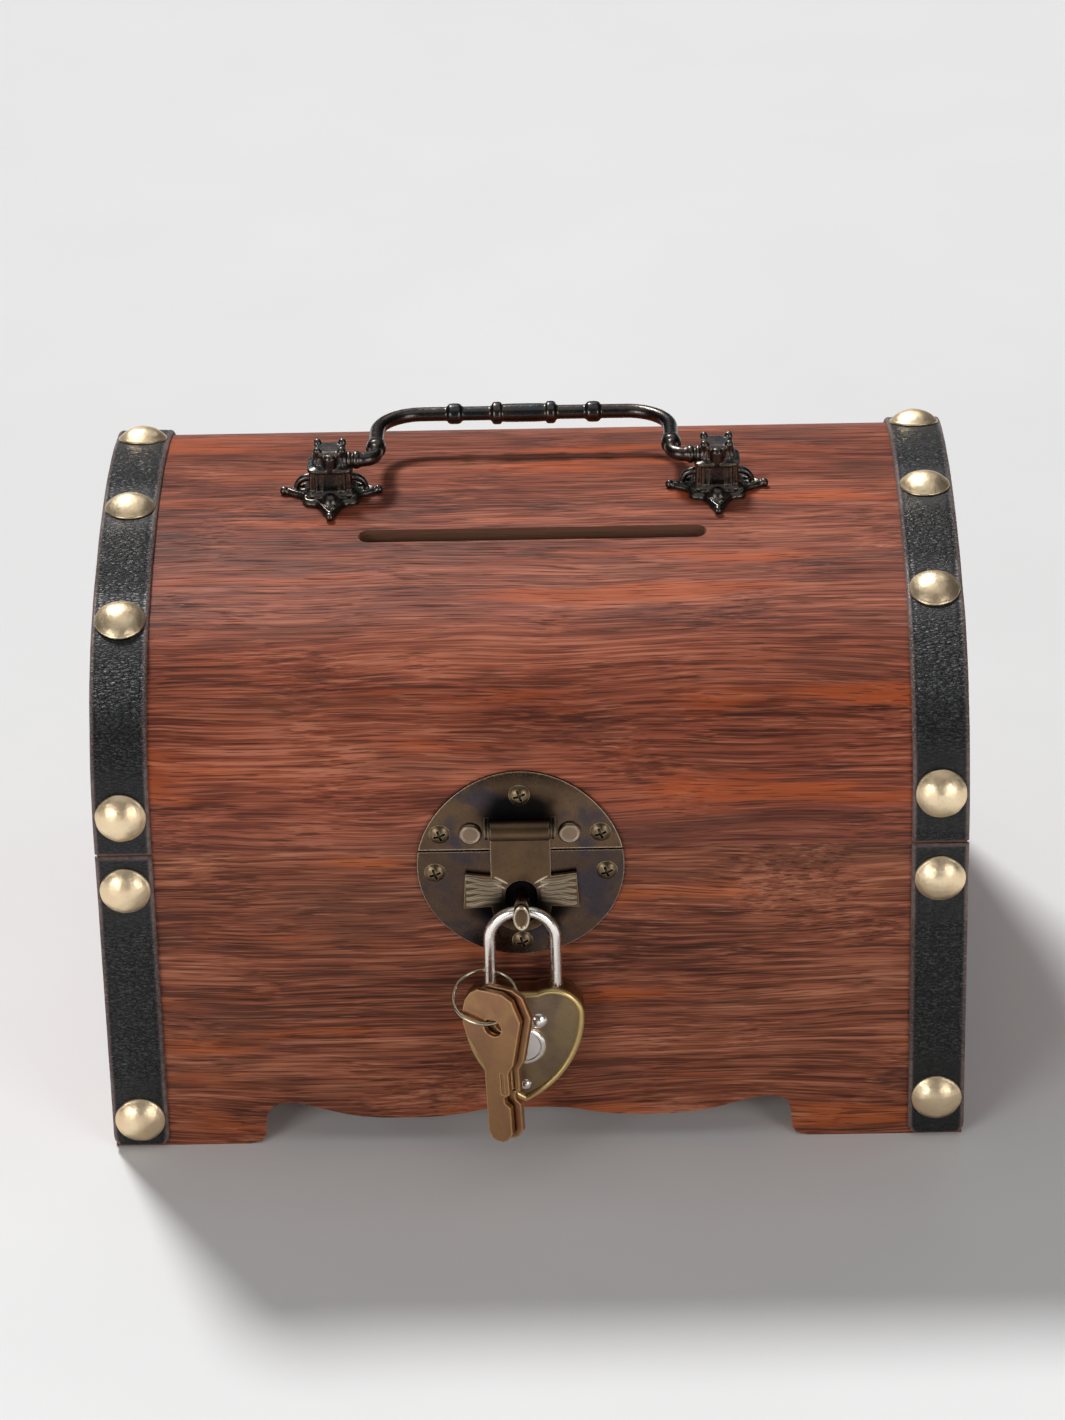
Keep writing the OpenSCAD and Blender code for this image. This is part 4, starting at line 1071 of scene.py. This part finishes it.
def heart(inset, z_top):
    """Outline (x, z) of the padlock's front, set in from its edge: two lobes and two tangent flanks."""
    lobe_z = z_top - LOBE_DROP
    lobe_r = LOBE_R - inset
    flank_r = FLANK_R - inset
    notch = lobe_r - 0.8
    start = math.degrees(math.atan2(notch, -math.sqrt(lobe_r**2 - notch**2)))
    flank_x = LOBE_X + LOBE_R - FLANK_R
    finish = -math.degrees(math.acos(-flank_x / flank_r))
    right = arc((LOBE_X, lobe_z), lobe_r, start, 0, 22) + arc((flank_x, lobe_z), flank_r, 0, finish, 26)[1:]
    left = [(-x, z) for x, z in reversed(right[:-1])]
    return right + left


RIM_INSET = 0.72
RIM_R = 0.66
NOSE_OVAL = 1.75


def add_case_rim(bm, polish):
    """The padlock's rolled golden lip, laid over the CAD rim."""
    plain = set(bm.verts)
    path = [Vector((HASP_X + x, LOCK_FRONT + 0.36, z)) for x, z in heart(RIM_INSET, LOCK_TOP)]
    add_tube(bm, path, [RIM_R] * len(path), Vector((0, 1, 0)), 14, closed=True)
    for vert in bm.verts:
        if vert not in plain:
            vert[polish] = 1.0


def add_staple_nose(bm, polish):
    """The oval end of the staple, dished inside a raised ring."""
    plain = set(bm.verts)
    place = (
        Matrix.Translation((HASP_X, STAPLE[0].y / MM, STAPLE_Z))
        @ Matrix.Rotation(math.pi / 2, 4, "X")
        @ Matrix.Diagonal((1.0, NOSE_OVAL, 1.0, 1.0))
    )
    dish = [(0, 0.34), (0.9, 0.30), (1.2, 0.34), (1.36, 0.58)]
    ring = [(1.6, 0.66), (1.8, 0.5), (1.88, 0.2), (1.8, -0.6), (0, -0.6)]
    add_lathe(bm, dish + ring, place, 36)
    for vert in bm.verts:
        off_centre = math.hypot(vert.co.x - HASP_X, (vert.co.z - STAPLE_Z) / NOSE_OVAL)
        if vert not in plain and 1.3 < off_centre < 1.7:
            vert[polish] = 0.9


def soften(node, width, segments=3, angle=28, extra=None):
    """Stands a copy of a CAD node, its flat faces merged and its edges rounded, in the node's place."""
    source = frame["nodes"][node]
    bm = bmesh.new()
    bm.from_mesh(source.data)
    bmesh.ops.scale(bm, vec=(1 / MM, 1 / MM, 1 / MM), verts=bm.verts)
    bmesh.ops.remove_doubles(bm, verts=bm.verts, dist=0.002)
    bmesh.ops.dissolve_degenerate(bm, dist=0.001, edges=bm.edges)
    bmesh.ops.dissolve_limit(bm, angle_limit=math.radians(0.6), verts=bm.verts, edges=bm.edges)
    if extra:
        extra(bm, bm.verts.layers.float.new("polish"))
    bmesh.ops.scale(bm, vec=(MM, MM, MM), verts=bm.verts)
    rounded = {
        "width": width * MM,
        "segments": segments,
        "limit_method": "ANGLE",
        "angle_limit": math.radians(angle),
        "use_clamp_overlap": True,
        "harden_normals": True,
    }
    add_piece(node + "_finished", bm, node,
              modifiers=[("BEVEL", rounded), ("WEIGHTED_NORMAL", {"keep_sharp": True})])


EDGE_ROUNDING = {
    "base_front_panel": 0.5, "base_back_panel": 0.5, "base_left_panel": 0.5, "base_right_panel": 0.5,
    "base_floor": 0.3, "lid_shell": 0.5, "lid_left_end": 0.4, "lid_right_end": 0.4,
    "hasp_upper_plate": 0.28, "hasp_lower_plate": 0.28, "hasp_staple": 0.35, "hasp_rivets": 0.15,
    "hinge_base_leaves": 0.15, "hinge_lid_leaves": 0.15,
    "lock_case": 0.4, "lock_back": 0.3, "lock_bezel": 0.2, "lock_plug": 0.15,
    "key_front": 0.2, "key_rear": 0.2,
}

EXTRAS = {"lock_case": add_case_rim, "hasp_staple": add_staple_nose}

for node, width in EDGE_ROUNDING.items():
    soften(node, width, extra=EXTRAS.get(node))

# ---------- CAD pieces kept as they are ----------

for name, node in frame["nodes"].items():
    node.data.materials.clear()
    node.data.materials.append(MATERIALS[FINISH_OF.get(name, SLOT_OF[name])])

add_studio()
add_floor()
add_camera()
scene = bpy.context.scene
scene.view_settings.view_transform = "Standard"
